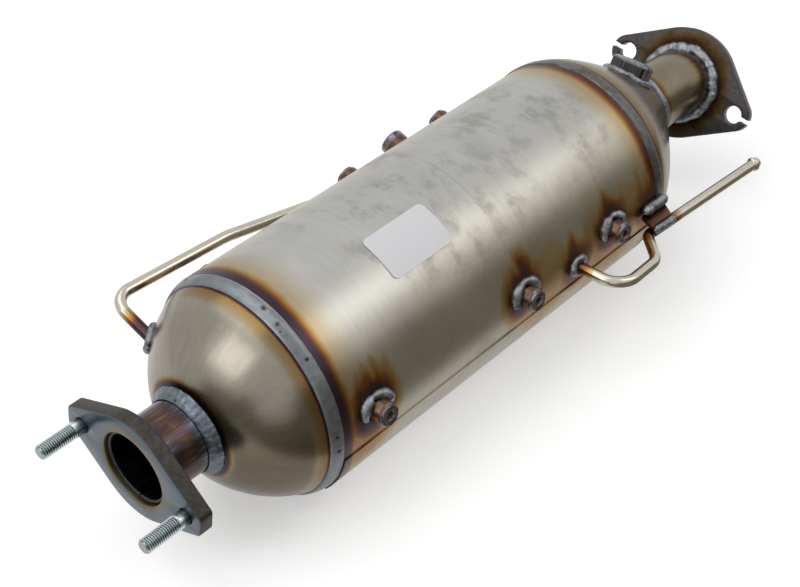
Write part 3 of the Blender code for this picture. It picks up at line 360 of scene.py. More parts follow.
class Finish(Web):
    """The nodes of one new material."""

    def __init__(self, name):
        self.material = bpy.data.materials.new(name)
        self.material.use_nodes = True
        super().__init__(self.material.node_tree)
        self.shader = self.tree.nodes["Principled BSDF"]

    def coat(self, base, rough, metallic=1.0):
        """Sets the surface's colour, roughness and share of metal."""
        self.put(self.shader.inputs["Base Color"], base)
        self.put(self.shader.inputs["Roughness"], rough)
        self.shader.inputs["Metallic"].default_value = metallic

    def bump(self, height, depth, strength):
        """Raises the surface by a height pattern of this depth."""
        inputs = {"Height": height, "Strength": strength, "Distance": depth}
        self.put(self.shader.inputs["Normal"], self.add("ShaderNodeBump", inputs).outputs[0])


# Temper colours of heated stainless, from cold to hottest
TEMPER = (
    (0.08, (0.36, 0.31, 0.21)),
    (0.26, (0.33, 0.24, 0.12)),
    (0.42, (0.29, 0.155, 0.050)),
    (0.56, (0.19, 0.080, 0.026)),
    (0.68, (0.090, 0.040, 0.028)),
    (0.78, (0.046, 0.029, 0.034)),
    (0.89, (0.030, 0.038, 0.062)),
    (1.00, (0.070, 0.078, 0.090)),
)


# Colours of the thin outlet neck, from its least to its most burnt streaks
BURNT = (
    (0.22, (0.150, 0.130, 0.098)),
    (0.38, (0.135, 0.098, 0.062)),
    (0.50, (0.092, 0.052, 0.036)),
    (0.62, (0.060, 0.038, 0.040)),
    (0.74, (0.052, 0.050, 0.066)),
    (0.88, (0.080, 0.098, 0.115)),
)


def body_position(web):
    """Object coordinates as (distance along X, arc round the body, radius) and the plain point."""
    point = web.point()
    x, y, z = web.split(point)
    angle = web.math("ARCTAN2", web.times(y, -1.0), z)
    arc = web.times(angle, body_radius())
    radius = web.reach(y, z)
    return point, x, arc, radius


def ring_heat(web, x, wobble, at, reach, strength):
    """Heat either side of a ring weld at this X, gone at the reach."""
    away = web.times(web.size(web.minus(x, at)), wobble)
    return web.fade(away, 0.0, reach, strength, 0.0)


def boss_heat(web, x, arc, wobble, flame, at, angle, inner, outer, upward, strength):
    """Heat round a boss on the shell, with flames that reach up the shell."""
    along = web.minus(x, sizes().outlet_reach + at)
    down = web.minus(arc, radians(angle) * body_radius())
    if angle < 0:
        down = web.times(down, -1.0)
    up = web.math("MAXIMUM", web.times(down, -1.0), 0.0)
    below = web.math("MAXIMUM", down, 0.0)
    eased = web.times(up, web.minus(1.0, web.times(flame, upward)))
    over = web.total(eased, below)
    away = web.times(web.reach(along, over), wobble)
    return web.fade(away, inner, outer, strength, 0.0)


def collar_heat(web, radius, wobble, inner, reach, strength):
    """Heat in a collar round the body's axis, hottest at its inner radius."""
    away = web.times(web.minus(radius, inner), wobble)
    return web.fade(away, 0.0, reach, strength, 0.0)


def near_heat(web, point, wobble, centre, inner, outer, strength):
    """Heat round a point of the object."""
    away = web.times(web.vector("DISTANCE", point, centre), wobble)
    return web.fade(away, inner, outer, strength, 0.0)


def temper(web, base, heat, depth=1.0):
    """Base colour under its temper colours, which are darker on a darker metal."""
    tints = web.shade(web.ramp(heat, TEMPER), depth)
    return web.mix(web.fade(heat, 0.02, 0.22), base, tints)


def shell_welds():
    """Station, clock angle, inner and outer reach of heat, flame and strength of each weld on it."""
    tall = sizes().shell_length
    boss_heats = (
        (0.0110, 0.0310, 0.30, 0.80),
        (0.0098, 0.0300, 0.36, 0.74),
        (0.0098, 0.0300, 0.36, 0.74),
        (0.0098, 0.0270, 0.45, 0.78),
        (0.0098, 0.0290, 0.50, 0.78),
        (0.0098, 0.0290, 0.50, 0.78),
    )
    welds = [(*spot, *heat) for spot, heat in zip(standoff_spots(), boss_heats)]
    return welds + [
        (0.020, 96.0, 0.0080, 0.0400, 0.20, 0.46),
        (front_port_at(), 90.0, 0.0070, 0.0300, 0.36, 0.72),
        (tall - 0.0057, 87.0, 0.0100, 0.0330, 0.36, 0.66),
        (tall - 0.1250, 93.0, 0.0100, 0.0480, 0.20, 0.36),
        (tall - 0.0500, 93.0, 0.0150, 0.0560, 0.20, 0.40),
        (tall - 0.0967, SENSOR_CLOCK, 0.0110, 0.0290, 0.50, 0.78),
        (tall - 0.1657, -84.0, 0.0060, 0.0230, 0.50, 0.64),
    ]


def shell_steel():
    """Brushed stainless with temper colours at its ends and round everything welded to it, and a straw tint
    down its sides and underside that is partly painted shade.
    """
    web = Finish("brushed shell steel")
    _, x, arc, radius = body_position(web)
    flat = web.join(x, arc, radius)
    grain = web.cloud(web.join(web.times(x, 60.0), arc, 0.0), 55.0, 6.0, 0.7)
    strokes = web.cloud(web.join(web.times(x, 14.0), arc, 0.0), 22.0, 4.0, 0.6)
    stains = web.cloud(flat, 26.0, 4.0, 0.6)
    smudges = web.cloud(web.join(x, web.times(arc, 0.7), 3.0), 48.0, 5.0, 0.65)
    wide = web.cloud(flat, 9.0, 2.0, 0.5)
    flame_line = web.join(web.times(x, 3.0), web.times(arc, 0.7), 0.0)
    flame = web.fade(web.cloud(flame_line, 30.0, 1.0, 0.4), 0.34, 0.70)
    wobble = web.weigh(0.76, (web.cloud(flat, 60.0, 2.0, 0.5), 0.48))
    steady = web.weigh(0.8, (web.cloud(flat, 60.0, 3.0, 0.6), 0.4))
    heats = [
        ring_heat(web, x, wobble, sizes().outlet_reach + 0.0022, 0.0135, 0.80),
        ring_heat(web, x, steady, sizes().outlet_reach, 0.046, 0.22),
        ring_heat(web, x, steady, inlet_rim() - 0.002, 0.012, 0.70),
        ring_heat(web, x, steady, inlet_rim(), 0.040, 0.24),
    ]
    heats += [boss_heat(web, x, arc, wobble, flame, *weld) for weld in shell_welds()]
    heat = web.most(*heats)
    # Straw tint that grows from the top down the sides to the underside: partly the steel's own straw tint,
    # partly painted shade on the lower flanks
    low = web.fade(web.size(arc), radians(12) * body_radius(), radians(66) * body_radius())
    straw_and_shade = web.times(low, web.fade(wide, 0.3, 0.7, 0.65, 1.0))
    base = web.mix(web.times(straw_and_shade, 0.80), colours().shell, (0.34, 0.30, 0.215))
    base = web.shade(base, web.weigh(0.63, (stains, 0.28), (strokes, 0.20), (grain, 0.26)))
    cloudy = web.times(web.fade(smudges, 0.46, 0.66), web.fade(wide, 0.42, 0.58))
    base = web.mix(web.times(cloudy, 0.50), base, (0.20, 0.19, 0.165))
    lap = web.size(web.minus(web.weigh(x, (arc, 0.02)), 0.2635))
    base = web.mix(web.fade(lap, 0.0005, 0.0002, 0.0, 0.35), base, (0.22, 0.21, 0.19))
    rough = web.weigh(0.27, (stains, 0.10), (grain, 0.07), (cloudy, 0.10))
    web.coat(temper(web, base, heat), rough)
    web.bump(web.weigh(grain, (wide, 1.5)), 0.00006, 0.55)
    return web.material


def sheet_steel(name, base_colour, rings, points, rough, streak, collars=(), depth=0.62):
    """Formed sheet with streaks up its slope, temper colours at its welds and painted shade down its sides
    and underside.
    """
    web = Finish(name)
    point, x, arc, radius = body_position(web)
    spread = web.join(web.times(x, 3.0), web.times(arc, 6.0), 0.0)
    streaks = web.cloud(spread, 24.0, 4.0, 0.65)
    patches = web.cloud(point, 34.0, 4.0, 0.6)
    fine = web.cloud(point, 420.0, 3.0, 0.6)
    wobble = web.weigh(0.70, (streaks, 0.30 * streak), (patches, 0.30))
    heats = [ring_heat(web, x, wobble, *ring) for ring in rings]
    heats += [near_heat(web, point, wobble, *spot) for spot in points]
    heats += [collar_heat(web, radius, wobble, *collar) for collar in collars]
    heat = web.most(*heats)
    tone = web.weigh(0.66, (patches, 0.30), (streaks, 0.30 * streak), (fine, 0.08))
    # Painted shade: the sheet is darker down its sides and underside, broken up by patches
    flank_shade = web.fade(web.size(arc), radians(50) * body_radius(), radians(94) * body_radius())
    flank_shade = web.times(flank_shade, web.weigh(0.65, (patches, 0.5)))
    painted_shade_colour = (0.46 * base_colour[0], 0.40 * base_colour[1], 0.32 * base_colour[2])
    base = web.shade(web.mix(flank_shade, base_colour, painted_shade_colour), tone)
    web.coat(temper(web, base, heat, depth), web.weigh(rough - 0.05, (patches, 0.16)))
    web.bump(web.weigh(fine, (patches, 2.0)), 0.00005, 0.3)
    return web.material


def bead_metal(name, base_colour, tint, tinted, hollow=0.55, craters=()):
    """Weld metal: pale on its lumps, dark oxide in its hollows, with small pits and craters that carry
    painted shade.
    """
    web = Finish(name)
    point = web.point()
    lumps = web.cloud(point, 200.0, 3.0, 0.55)
    grit = web.cloud(point, 1400.0, 3.0, 0.7)
    wide = web.cloud(point, 70.0, 3.0, 0.6)
    pits = web.spots(point, 90.0, 0.10)
    ragged = web.cloud(point, 520.0, 2.0, 0.6)
    deep = tuple(hollow * part for part in base_colour)
    base = web.mix(web.fade(lumps, 0.30, 0.64), deep, base_colour)
    base = web.mix(web.times(web.fade(wide, 0.50, 0.68), tinted), base, tint)
    # Painted shade: the small pits are painted nearly black
    base = web.mix(web.times(pits, 0.8), base, (0.02, 0.02, 0.025))
    # Painted shade in each crater, darkest in its middle
    for centre, reach, _ in craters:
        away = web.times(web.vector("DISTANCE", point, centre), web.weigh(0.35, (ragged, 1.3)))
        crater_shade = web.fade(away, 0.25 * reach, 1.35 * reach, 0.85, 0.0)
        base = web.mix(crater_shade, base, (0.022, 0.020, 0.020))
    base = web.shade(base, web.weigh(0.8, (grit, 0.4)))
    web.coat(base, web.weigh(0.30, (lumps, 0.16), (pits, 0.2)), 0.92)
    web.bump(web.weigh(lumps, (grit, 0.3), (pits, -1.2)), 0.00016, 0.6)
    return web.material


def flange_steel(name, base_colour, face, face_colour, heats, depth=0.32):
    """Plain steel plate with scale on its edges and a machined mating face."""
    web = Finish(name)
    point = web.point()
    patches = web.cloud(point, 55.0, 5.0, 0.6)
    scale = web.cloud(point, 330.0, 4.0, 0.7)
    x, y, z = web.split(web.local(point, face))
    machined = web.fade(z, -0.0007, -0.0001)
    rings = web.cloud(web.join(web.reach(x, y), 0.0, 0.0), 2600.0, 2.0, 0.5)
    wobble = web.weigh(0.7, (patches, 0.6))
    heat = web.most(*[near_heat(web, point, wobble, *spot) for spot in heats])
    dark = tuple(0.62 * part for part in base_colour)
    scaled = web.mix(web.fade(scale, 0.30, 0.75), base_colour, dark)
    scaled = web.shade(scaled, web.weigh(0.7, (patches, 0.6)))
    bright = web.weigh(0.75, (patches, 0.35), (rings, 0.15))
    base = web.mix(machined, scaled, web.shade(face_colour, bright))
    rough = web.total(web.minus(0.44, web.times(machined, 0.18)), web.times(scale, 0.10))
    web.coat(temper(web, base, heat, depth), rough, 0.95)
    lift = web.times(scale, web.minus(1.0, web.times(machined, 0.85)))
    web.bump(web.weigh(lift, (rings, 0.12)), 0.00018, 0.6)
    return web.material


def plated_metal(name, base_colour, rough, dark, heats=()):
    """Smooth metal with faint drawing marks, small stains and temper colours at its welds."""
    web = Finish(name)
    point = web.point()
    marks = web.cloud(point, 900.0, 3.0, 0.7)
    patches = web.cloud(point, 120.0, 4.0, 0.6)
    base = web.mix(web.fade(patches, 0.50, 0.78, 0.0, 0.7), base_colour, dark)
    base = web.shade(base, web.weigh(0.84, (marks, 0.30)))
    if heats:
        wobble = web.weigh(0.75, (patches, 0.5))
        heat = web.most(*[near_heat(web, point, wobble, *spot) for spot in heats])
        base = temper(web, base, heat)
    web.coat(base, web.weigh(rough - 0.04, (marks, 0.10)))
    web.bump(marks, 0.00005, 0.5)
    return web.material


def dull_stuff(name, base_colour, grain, spread, rough, depth):
    """Ceramic, fibre or paper: no shine, with grain in colour and height."""
    web = Finish(name)
    point = web.point()
    fine = web.cloud(point, grain, 4.0, 0.7)
    patches = web.cloud(point, grain / 14, 3.0, 0.6)
    tone = web.weigh(1.0 - spread, (fine, spread), (patches, spread))
    rough = web.weigh(rough - 0.1, (fine, 0.2))
    web.coat(web.shade(base_colour, tone), rough, 0.0)
    web.shader.inputs["Specular IOR Level"].default_value = 0.3
    web.bump(fine, depth, 0.6)
    return web.material


MADE_FINISHES = {}


def finish(name):
    """The finish of this name, made the first time it is asked for."""
    if name not in MADE_FINISHES:
        MADE_FINISHES[name] = FINISHES[name]()
    return MADE_FINISHES[name]


def dome_finish():
    rim = sizes().outlet_reach
    rings = ((rim - 0.0085, 0.0042, 0.86), (rim - 0.010, 0.0125, 0.36))
    port = on_shell(-REAR_PORT_BACK, body_radius() * 0.86, REAR_PORT_CLOCK)
    collars = ((necks().outlet_od / 2 + 0.006, 0.0070, 0.84), (necks().outlet_od / 2, 0.020, 0.28))
    spots = ((port, 0.006, 0.016, 0.85),)
    return sheet_steel("dome steel", colours().dome, rings, spots, 0.24, 1.5, collars)


def cone_finish():
    rim = inlet_rim()
    rings = (
        (rim + 0.0085, 0.0060, 0.70),
        (rim + 0.009, 0.030, 0.30),
        (rim + sizes().cone_length, 0.012, 0.80),
    )
    spots = ((hex_place().to_translation(), 0.014, 0.027, 0.90),)
    return sheet_steel("cone steel", colours().cone, rings, spots, 0.26, 1.2, (), 0.5)


def outlet_neck_finish():
    """Thin tube burnt in streaks of gold, brown, violet and blue that run along it."""
    web = Finish("outlet neck steel")
    point, x, arc, _ = body_position(web)
    mouth = sizes().outlet_reach - sizes().dome_length
    lines = web.cloud(web.join(web.times(x, 0.22), arc, 0.0), 120.0, 4.0, 0.6)
    patches = web.cloud(point, 75.0, 3.0, 0.6)
    ends = web.most(
        web.fade(x, mouth - 0.020, mouth - 0.001, 0.0, 0.40),
        web.fade(x, 0.026, 0.010, 0.0, 0.30),
    )
    heat = web.total(-0.22, web.times(lines, 1.15), web.times(patches, 0.30), ends)
    web.coat(web.ramp(heat, BURNT), web.weigh(0.20, (lines, 0.14)))
    web.bump(lines, 0.00005, 0.4)
    return web.material


def inlet_neck_finish():
    _, _, end, heading = inlet_axis()
    ring = inlet_rim() + sizes().cone_length
    spots = ((end - 0.007 * heading, 0.024, 0.040, 0.72),)
    return sheet_steel("inlet neck steel", colours().tube, ((ring, 0.017, 0.9),), spots, 0.26, 1.2, (), 0.6)


def outlet_flange_finish():
    face = facing(Vector((0, 0, 0)), -ALONG, flat=out_at(necks().lobe_clock))
    spots = ((Vector((0.012, 0, 0)), 0.022, 0.036, 0.4),)
    return flange_steel("outlet flange steel", colours().flange, face, (0.082, 0.105, 0.125), spots)


def inlet_flange_finish():
    face = inlet_flange_place()
    back = face @ Vector((0, 0, -necks().inlet_plate))
    spots = ((back, 0.029, 0.045, 0.66),)
    plain, machined = (0.074, 0.066, 0.068), (0.16, 0.16, 0.17)
    return flange_steel("inlet flange steel", plain, face, machined, spots, 0.19)


def pipe_finish():
    front = front_corner(*FRONT_CORNERS[0])
    plate_foot = front_tail_at(0.078)
    rear = on_shell(-REAR_PORT_BACK, body_radius() * 0.9, REAR_PORT_CLOCK)
    spots = (
        (front, 0.006, 0.020, 0.66),
        (plate_foot, 0.010, 0.026, 0.70),
        (rear, 0.006, 0.022, 0.76),
    )
    return plated_metal("bright pipe steel", colours().pipe, 0.20, (0.40, 0.34, 0.24), spots)


def hexagon_finish():
    """Blued steel, brighter on the turned top and scorched brown down its sides."""
    web = Finish("hexagon steel")
    point = web.point()
    height = web.split(web.local(point, hex_place()))[2]
    top = web.fade(height, fittings().hex_height - 0.0022, fittings().hex_height - 0.0008)
    patches = web.cloud(point, 150.0, 4.0, 0.6)
    marks = web.cloud(point, 900.0, 3.0, 0.7)
    side = web.mix(web.fade(patches, 0.40, 0.62), (0.040, 0.042, 0.046), (0.055, 0.034, 0.020))
    base = web.mix(top, side, (0.13, 0.155, 0.175))
    base = web.shade(base, web.weigh(0.80, (marks, 0.4)))
    web.coat(base, web.weigh(0.16, (patches, 0.16)))
    web.bump(marks, 0.00005, 0.5)
    return web.material


def stud_finish():
    """Zinc plate, with painted shade down in the grooves of the thread and a painted shadow where the stud
    leaves its flange.
    """
    web = Finish("zinc plate")
    point = web.point()
    x, y, z = web.split(point)
    away = []
    for side in (1, -1):
        centre = side * necks().bolt_spacing_out / 2 * out_at(necks().lobe_clock)
        away.append(web.vector("DISTANCE", web.join(0.0, y, z), centre))
    radius = web.math("MINIMUM", *away)
    crest = necks().stud_diameter / 2
    # Painted shade down in the thread's grooves
    groove = web.fade(radius, crest - 0.0002, crest - 0.0009)
    # Painted shadow at the stud's root, where it leaves its flange
    root = web.fade(x, -0.0058, -0.0012)
    patches = web.cloud(point, 260.0, 4.0, 0.6)
    base = web.mix(web.times(groove, 0.62), colours().stud, (0.085, 0.105, 0.115))
    base = web.mix(web.times(root, 0.75), base, (0.05, 0.055, 0.07))
    base = web.shade(base, web.weigh(0.78, (patches, 0.44)))
    web.coat(base, web.weigh(0.20, (patches, 0.14)))
    web.bump(patches, 0.00005, 0.5)
    return web.material


def boss_finish():
    """Copper tinted steel, blued at the bosses' ends, with painted shade down their holes."""
    web = Finish("copper tinted boss steel")
    point, _, _, radius = body_position(web)
    marks = web.cloud(point, 900.0, 3.0, 0.7)
    patches = web.cloud(point, 170.0, 4.0, 0.6)
    bore = fittings().standoff_bore / 2
    top = body_radius() + fittings().standoff_proud
    blued = web.times(web.fade(radius, top - 0.0030, top - 0.0004), web.fade(patches, 0.38, 0.60))
    copper = web.mix(web.fade(patches, 0.45, 0.70), colours().boss, (0.070, 0.045, 0.036))
    base = web.mix(web.times(blued, 0.85), copper, (0.190, 0.210, 0.300))
    # Painted shade: each standoff's tapped hole is painted nearly black
    for along, angle in standoff_spots():
        away = web.vector("SUBTRACT", point, on_shell(along, body_radius(), angle))
        off_axis = web.vector("LENGTH", web.vector("CROSS_PRODUCT", away, out_at(angle)))
        hole = web.fade(off_axis, bore + 0.0004, bore - 0.0002)
        base = web.mix(web.times(hole, 0.92), base, (0.010, 0.009, 0.010))
    base = web.shade(base, web.weigh(0.80, (marks, 0.4)))
    web.coat(base, web.weigh(0.20, (patches, 0.16)))
    web.bump(marks, 0.00005, 0.5)
    return web.material


def standoff_spots():
    """Station and clock angle of each standoff, first the front three and then the rear three."""
    tall = sizes().shell_length
    return (
        (0.028, 83.5),
        (tall - 0.1477, 83.5),
        (tall - 0.0527, 83.5),
        (0.0405, -79.0),
        (tall - 0.1457, -72.5),
        (tall - 0.0497, -72.5),
    )


# Weld metals: base colour, tint, share that is tinted, and brightness of the hollows
BAND_METAL = ((0.19, 0.21, 0.225), (0.10, 0.09, 0.08), 0.35, 0.78)
NECK_METAL = ((0.140, 0.165, 0.195), (0.070, 0.062, 0.060), 0.6, 0.60)
BORE_METAL = ((0.048, 0.050, 0.056), (0.04, 0.03, 0.025), 0.5, 0.60)
INLET_METAL = ((0.125, 0.130, 0.130), (0.085, 0.052, 0.032), 0.8, 0.70)
# Smooth metals: base colour, roughness and stain colour
SCORCHED = ((0.125, 0.062, 0.034), 0.32, (0.045, 0.028, 0.026))
KEEPER = ((0.20, 0.17, 0.14), 0.36, (0.10, 0.08, 0.06))

FINISHES = {
    "shell": shell_steel,
    "dome": dome_finish,
    "cone": cone_finish,
    "outlet neck": outlet_neck_finish,
    "inlet neck": inlet_neck_finish,
    "bead": lambda: bead_metal("weld bead metal", colours().bead, (0.14, 0.10, 0.07), 0.35),
    "band": lambda: bead_metal("weld band metal", *BAND_METAL, band_craters()),
    "neck bead": lambda: bead_metal("neck bead metal", *NECK_METAL),
    "bore bead": lambda: bead_metal("bore bead metal", *BORE_METAL),
    "inlet band": lambda: bead_metal("inlet band metal", *INLET_METAL),
    "outlet flange": outlet_flange_finish,
    "inlet flange": inlet_flange_finish,
    "stud": stud_finish,
    "pipe": pipe_finish,
    "boss": boss_finish,
    "hexagon": hexagon_finish,
    "bracket": lambda: plated_metal("scorched bracket steel", *SCORCHED),
    "filter": lambda: dull_stuff("filter ceramic", colours().filter, 700.0, 0.35, 0.85, 0.0001),
    "catalyst": lambda: dull_stuff("catalyst ceramic", colours().catalyst, 700.0, 0.35, 0.85, 0.0001),
    "fibre": lambda: dull_stuff("mat fibre", colours().fibre, 500.0, 0.30, 0.92, 0.0004),
    "paper": lambda: dull_stuff("label paper", colours().paper, 1500.0, 0.06, 0.55, 0.00003),
    "card": lambda: dull_stuff("dark card", (0.29, 0.262, 0.21), 200.0, 0.1, 0.95, 0.0001),
    "keeper": lambda: plated_metal("keeper steel", *KEEPER),
}


def new_tree(name, **inputs):
    """Geometry tree with a geometry input, an input for each default and one geometry output."""
    tree = bpy.data.node_groups.new(name, "GeometryNodeTree")
    tree.is_modifier = True
    tree.interface.new_socket("Geometry", in_out="INPUT", socket_type="NodeSocketGeometry")
    for key, default in inputs.items():
        kind = "NodeSocketFloat" if isinstance(default, float) else "NodeSocketInt"
        label = key.replace("_", " ").title()
        tree.interface.new_socket(label, in_out="INPUT", socket_type=kind).default_value = default
    tree.interface.new_socket("Material", in_out="INPUT", socket_type="NodeSocketMaterial")
    tree.interface.new_socket("Geometry", in_out="OUTPUT", socket_type="NodeSocketGeometry")
    return tree, Web(tree), tree.nodes.new("NodeGroupInput").outputs


def close_tree(web, geometry, material):
    real = web.add("GeometryNodeRealizeInstances", (geometry,))
    painted = web.add("GeometryNodeSetMaterial", {"Geometry": real.outputs[0], "Material": material})
    web.add("NodeGroupOutput", (painted.outputs[0],))


def turned_tree():
    """A closed outline swept round the local Z axis, with lumps and ripples on its outer side."""
    tree, web, given = new_tree(
        "Turned Piece",
        sides=64, path_radius=0.01, lump_height=0.0, lump_scale=120.0, ripple_height=0.0,
        ripples=100.0, outer_radius=0.05,
    )
    outline = web.add("GeometryNodeMeshToCurve", {"Mesh": given["Geometry"]}).outputs[0]
    path = web.circle(given["Sides"], given["Path Radius"])
    swept = web.add("GeometryNodeCurveToMesh", {"Curve": path, "Profile Curve": outline}).outputs[0]
    place = web.add("GeometryNodeInputPosition").outputs[0]
    x, y, _ = web.split(place)
    radius = web.reach(x, y)
    lumps = web.minus(web.cloud(place, given["Lump Scale"], 3.0, 0.6), 0.5)
    angle = web.math("ARCTAN2", y, x)
    slip = web.times(web.cloud(place, 60.0, 2.0, 0.5), 6.0)
    ripple = web.math("SINE", web.total(web.times(angle, given["Ripples"]), slip))
    rise = web.total(web.times(lumps, given["Lump Height"]), web.times(ripple, given["Ripple Height"]))
    outside = web.fade(radius, web.minus(given["Outer Radius"], 0.0016), given["Outer Radius"])
    rise = web.times(rise, outside)
    away = web.vector("NORMALIZE", web.join(x, y, 0.0))
    offset = web.vector("SCALE", away, None, None, rise)
    moved = web.add("GeometryNodeSetPosition", {"Geometry": swept, "Offset": offset}).outputs[0]
    close_tree(web, moved, given["Material"])
    return tree


def bead_tree():
    """A lumpy, rippled run of weld metal along a path."""
    tree, web, given = new_tree(
        "Weld Bead",
        radius=0.0025, rise=1.0, sides=14, step=0.0005, ripple_pitch=0.0013, ripple_height=0.00022,
        lump_height=0.0009, lump_scale=170.0, end_taper=0.0, dabs=2.0, bulge=0.0, seed=0.0,
    )
    path = web.add("GeometryNodeMeshToCurve", {"Mesh": given["Geometry"]}).outputs[0]
    fine = web.add("GeometryNodeResampleCurve", {"Curve": path, "Length": given["Step"]}, mode="LENGTH")
    station = web.add("GeometryNodeSplineParameter").outputs
    from_end = web.ratio(station["Length"], web.math("MAXIMUM", station["Factor"], 0.0001))
    to_end = web.minus(from_end, station["Length"])
    nearest = web.math("MINIMUM", station["Length"], to_end)
    taper = web.math("MAXIMUM", given["End Taper"], 0.00001)
    share = web.ratio(web.weigh(nearest, (taper, 0.10)), taper, True)
    phase = web.minus(web.times(station["Factor"], given["Dabs"]), 0.5)
    swing = web.math("COSINE", web.times(phase, 2 * pi))
    swollen = web.weigh(1.0, (swing, given["Bulge"]))
    full = web.times(web.math("SQRT", share), swollen)
    sized = web.add("GeometryNodeSetCurveRadius", {"Curve": fine.outputs[0], "Radius": full}).outputs[0]
    kept = web.add("GeometryNodeCaptureAttribute", {"Geometry": sized})
    kept.capture_items.new("FLOAT", "Along")
    web.put(kept.inputs["Along"], station["Length"])
    ring = web.circle(given["Sides"], given["Radius"])
    stretch = web.join(1.0, given["Rise"], 1.0)
    tall = web.add("GeometryNodeTransform", {"Geometry": ring, "Scale": stretch}).outputs[0]
    inputs = {"Curve": kept.outputs["Geometry"], "Profile Curve": tall, "Scale": full, "Fill Caps": True}
    swept = web.add("GeometryNodeCurveToMesh", inputs).outputs[0]
    place = web.add("GeometryNodeInputPosition").outputs[0]
    normal = web.add("GeometryNodeInputNormal").outputs[0]
    seeded = web.vector("ADD", place, web.join(given["Seed"], 0.0, 0.0))
    lumps = web.minus(web.cloud(seeded, given["Lump Scale"], 3.0, 0.55), 0.5)
    slip = web.times(web.cloud(seeded, 90.0, 2.0, 0.5), 0.004)
    steps = web.ratio(web.total(kept.outputs["Along"], slip), given["Ripple Pitch"])
    ripple = web.size(web.math("SINE", web.times(steps, pi)))
    rise = web.total(web.times(lumps, given["Lump Height"]), web.times(ripple, given["Ripple Height"]))
    offset = web.vector("SCALE", normal, None, None, rise)
    moved = web.add("GeometryNodeSetPosition", {"Geometry": swept, "Offset": offset}).outputs[0]
    close_tree(web, moved, given["Material"])
    return tree


def thread_tree():
    """A rod along local Z with a screw thread cut into it and a chamfer at each end."""
    tree, web, given = new_tree(
        "Threaded Rod",
        radius=0.005, bottom=0.0, top=0.03, pitch=0.0015, depth=0.0011, chamfer=0.0012,
        shank=0.0075, rows_a_turn=8, sides=40,
    )
    bottom, top, pitch = given["Bottom"], given["Top"], given["Pitch"]
    tall = web.minus(top, bottom)
    rows = web.math("CEIL", web.times(web.ratio(tall, pitch), given["Rows A Turn"]))
    inputs = {"Vertices": given["Sides"], "Side Segments": rows, "Radius": given["Radius"], "Depth": tall}
    rod = web.add("GeometryNodeMeshCylinder", inputs)
    x, y, z = web.split(web.add("GeometryNodeInputPosition").outputs[0])
    middle = web.times(web.total(top, bottom), 0.5)
    height = web.total(z, middle)
    turn = web.ratio(web.math("ARCTAN2", y, x), 2 * pi)
    phase = web.math("FRACT", web.total(web.minus(web.ratio(height, pitch), turn), 64.0))
    notch = web.size(web.minus(web.times(phase, 2.0), 1.0))
    past_shank = web.fade(height, web.minus(given["Shank"], 0.0012), given["Shank"])
    notch = web.times(web.fade(notch, 0.05, 0.92), past_shank)
    radius = web.minus(given["Radius"], web.times(notch, given["Depth"]))
    nearest = web.math("MINIMUM", web.minus(top, height), web.minus(height, bottom))
    limit = web.total(web.minus(given["Radius"], given["Chamfer"]), nearest)
    radius = web.math("MINIMUM", radius, limit)
    flat = web.vector("SCALE", web.vector("NORMALIZE", web.join(x, y, 0.0)), None, None, radius)
    fx, fy, _ = web.split(flat)
    place = web.join(fx, fy, height)
    moved = web.add("GeometryNodeSetPosition", {"Geometry": rod.outputs[0], "Position": place}).outputs[0]
    close_tree(web, moved, given["Material"])
    return tree


def cell_tree():
    """A block of square cells along local Z, open at the top, with every other cell plugged."""
    tree, web, given = new_tree(
        "Cell Block",
        radius=0.07, pitch=0.0021, wall_share=0.22, open_depth=0.006, plug_depth=0.0005,
        length=0.05,
    )
    radius, pitch = given["Radius"], given["Pitch"]
    rows = web.times(web.math("CEIL", web.ratio(radius, pitch)), 2.0)
    wide = web.times(rows, pitch)
    lines = web.total(rows, 1.0)
    inputs = {"Size X": wide, "Size Y": wide, "Vertices X": lines, "Vertices Y": lines}
    sheet = web.add("GeometryNodeMeshGrid", inputs).outputs[0]
    place = web.add("GeometryNodeInputPosition").outputs[0]
    beyond = web.math("GREATER_THAN", web.vector("LENGTH", place), web.minus(radius, pitch))
    inputs = {"Geometry": sheet, "Selection": beyond}
    disc = web.add("GeometryNodeDeleteGeometry", inputs, domain="FACE", mode="ALL").outputs[0]
    down = web.join(0.0, 0.0, web.times(given["Length"], -1.0))
    inputs = {"Mesh": disc, "Offset": down, "Individual": False}
    lifted = web.add("GeometryNodeExtrudeMesh", inputs).outputs[0]
    rim = web.add("GeometryNodeExtrudeMesh", {"Mesh": disc, "Offset Scale": 0.0, "Individual": True})
    raised, mouths = rim.outputs["Mesh"], rim.outputs["Top"]
    inner = web.minus(1.0, given["Wall Share"])
    inputs = {"Geometry": raised, "Selection": mouths, "Scale": inner}
    shrunk = web.add("GeometryNodeScaleElements", inputs).outputs[0]
    x, y, _ = web.split(place)
    column = web.math("FLOOR", web.ratio(x, pitch))
    row = web.math("FLOOR", web.ratio(y, pitch))
    plugged = web.math("MODULO", web.size(web.total(column, row)), 2.0)
    drop = web.times(web.minus(given["Open Depth"], given["Plug Depth"]), plugged)
    deep = web.times(web.total(drop, given["Plug Depth"]), -1.0)
    inputs = {"Mesh": shrunk, "Selection": mouths, "Offset": web.join(0.0, 0.0, deep), "Individual": True}
    pits = web.add("GeometryNodeExtrudeMesh", inputs).outputs[0]
    both = web.add("GeometryNodeJoinGeometry")
    for part in (lifted, pits):
        web.tree.links.new(part, both.inputs[0])
    inputs = {"Geometry": both.outputs[0], "Distance": 0.00001}
    merged = web.add("GeometryNodeMergeByDistance", inputs).outputs[0]
    close_tree(web, merged, given["Material"])
    return tree


TREES = {}


def tree_of(maker):
    if maker not in TREES:
        TREES[maker] = maker()
    return TREES[maker]


def shown(name, data):
    """Object in the scene that holds this mesh, curve, lamp or camera."""
    made = bpy.data.objects.new(name, data)
    bpy.context.scene.collection.objects.link(made)
    return made


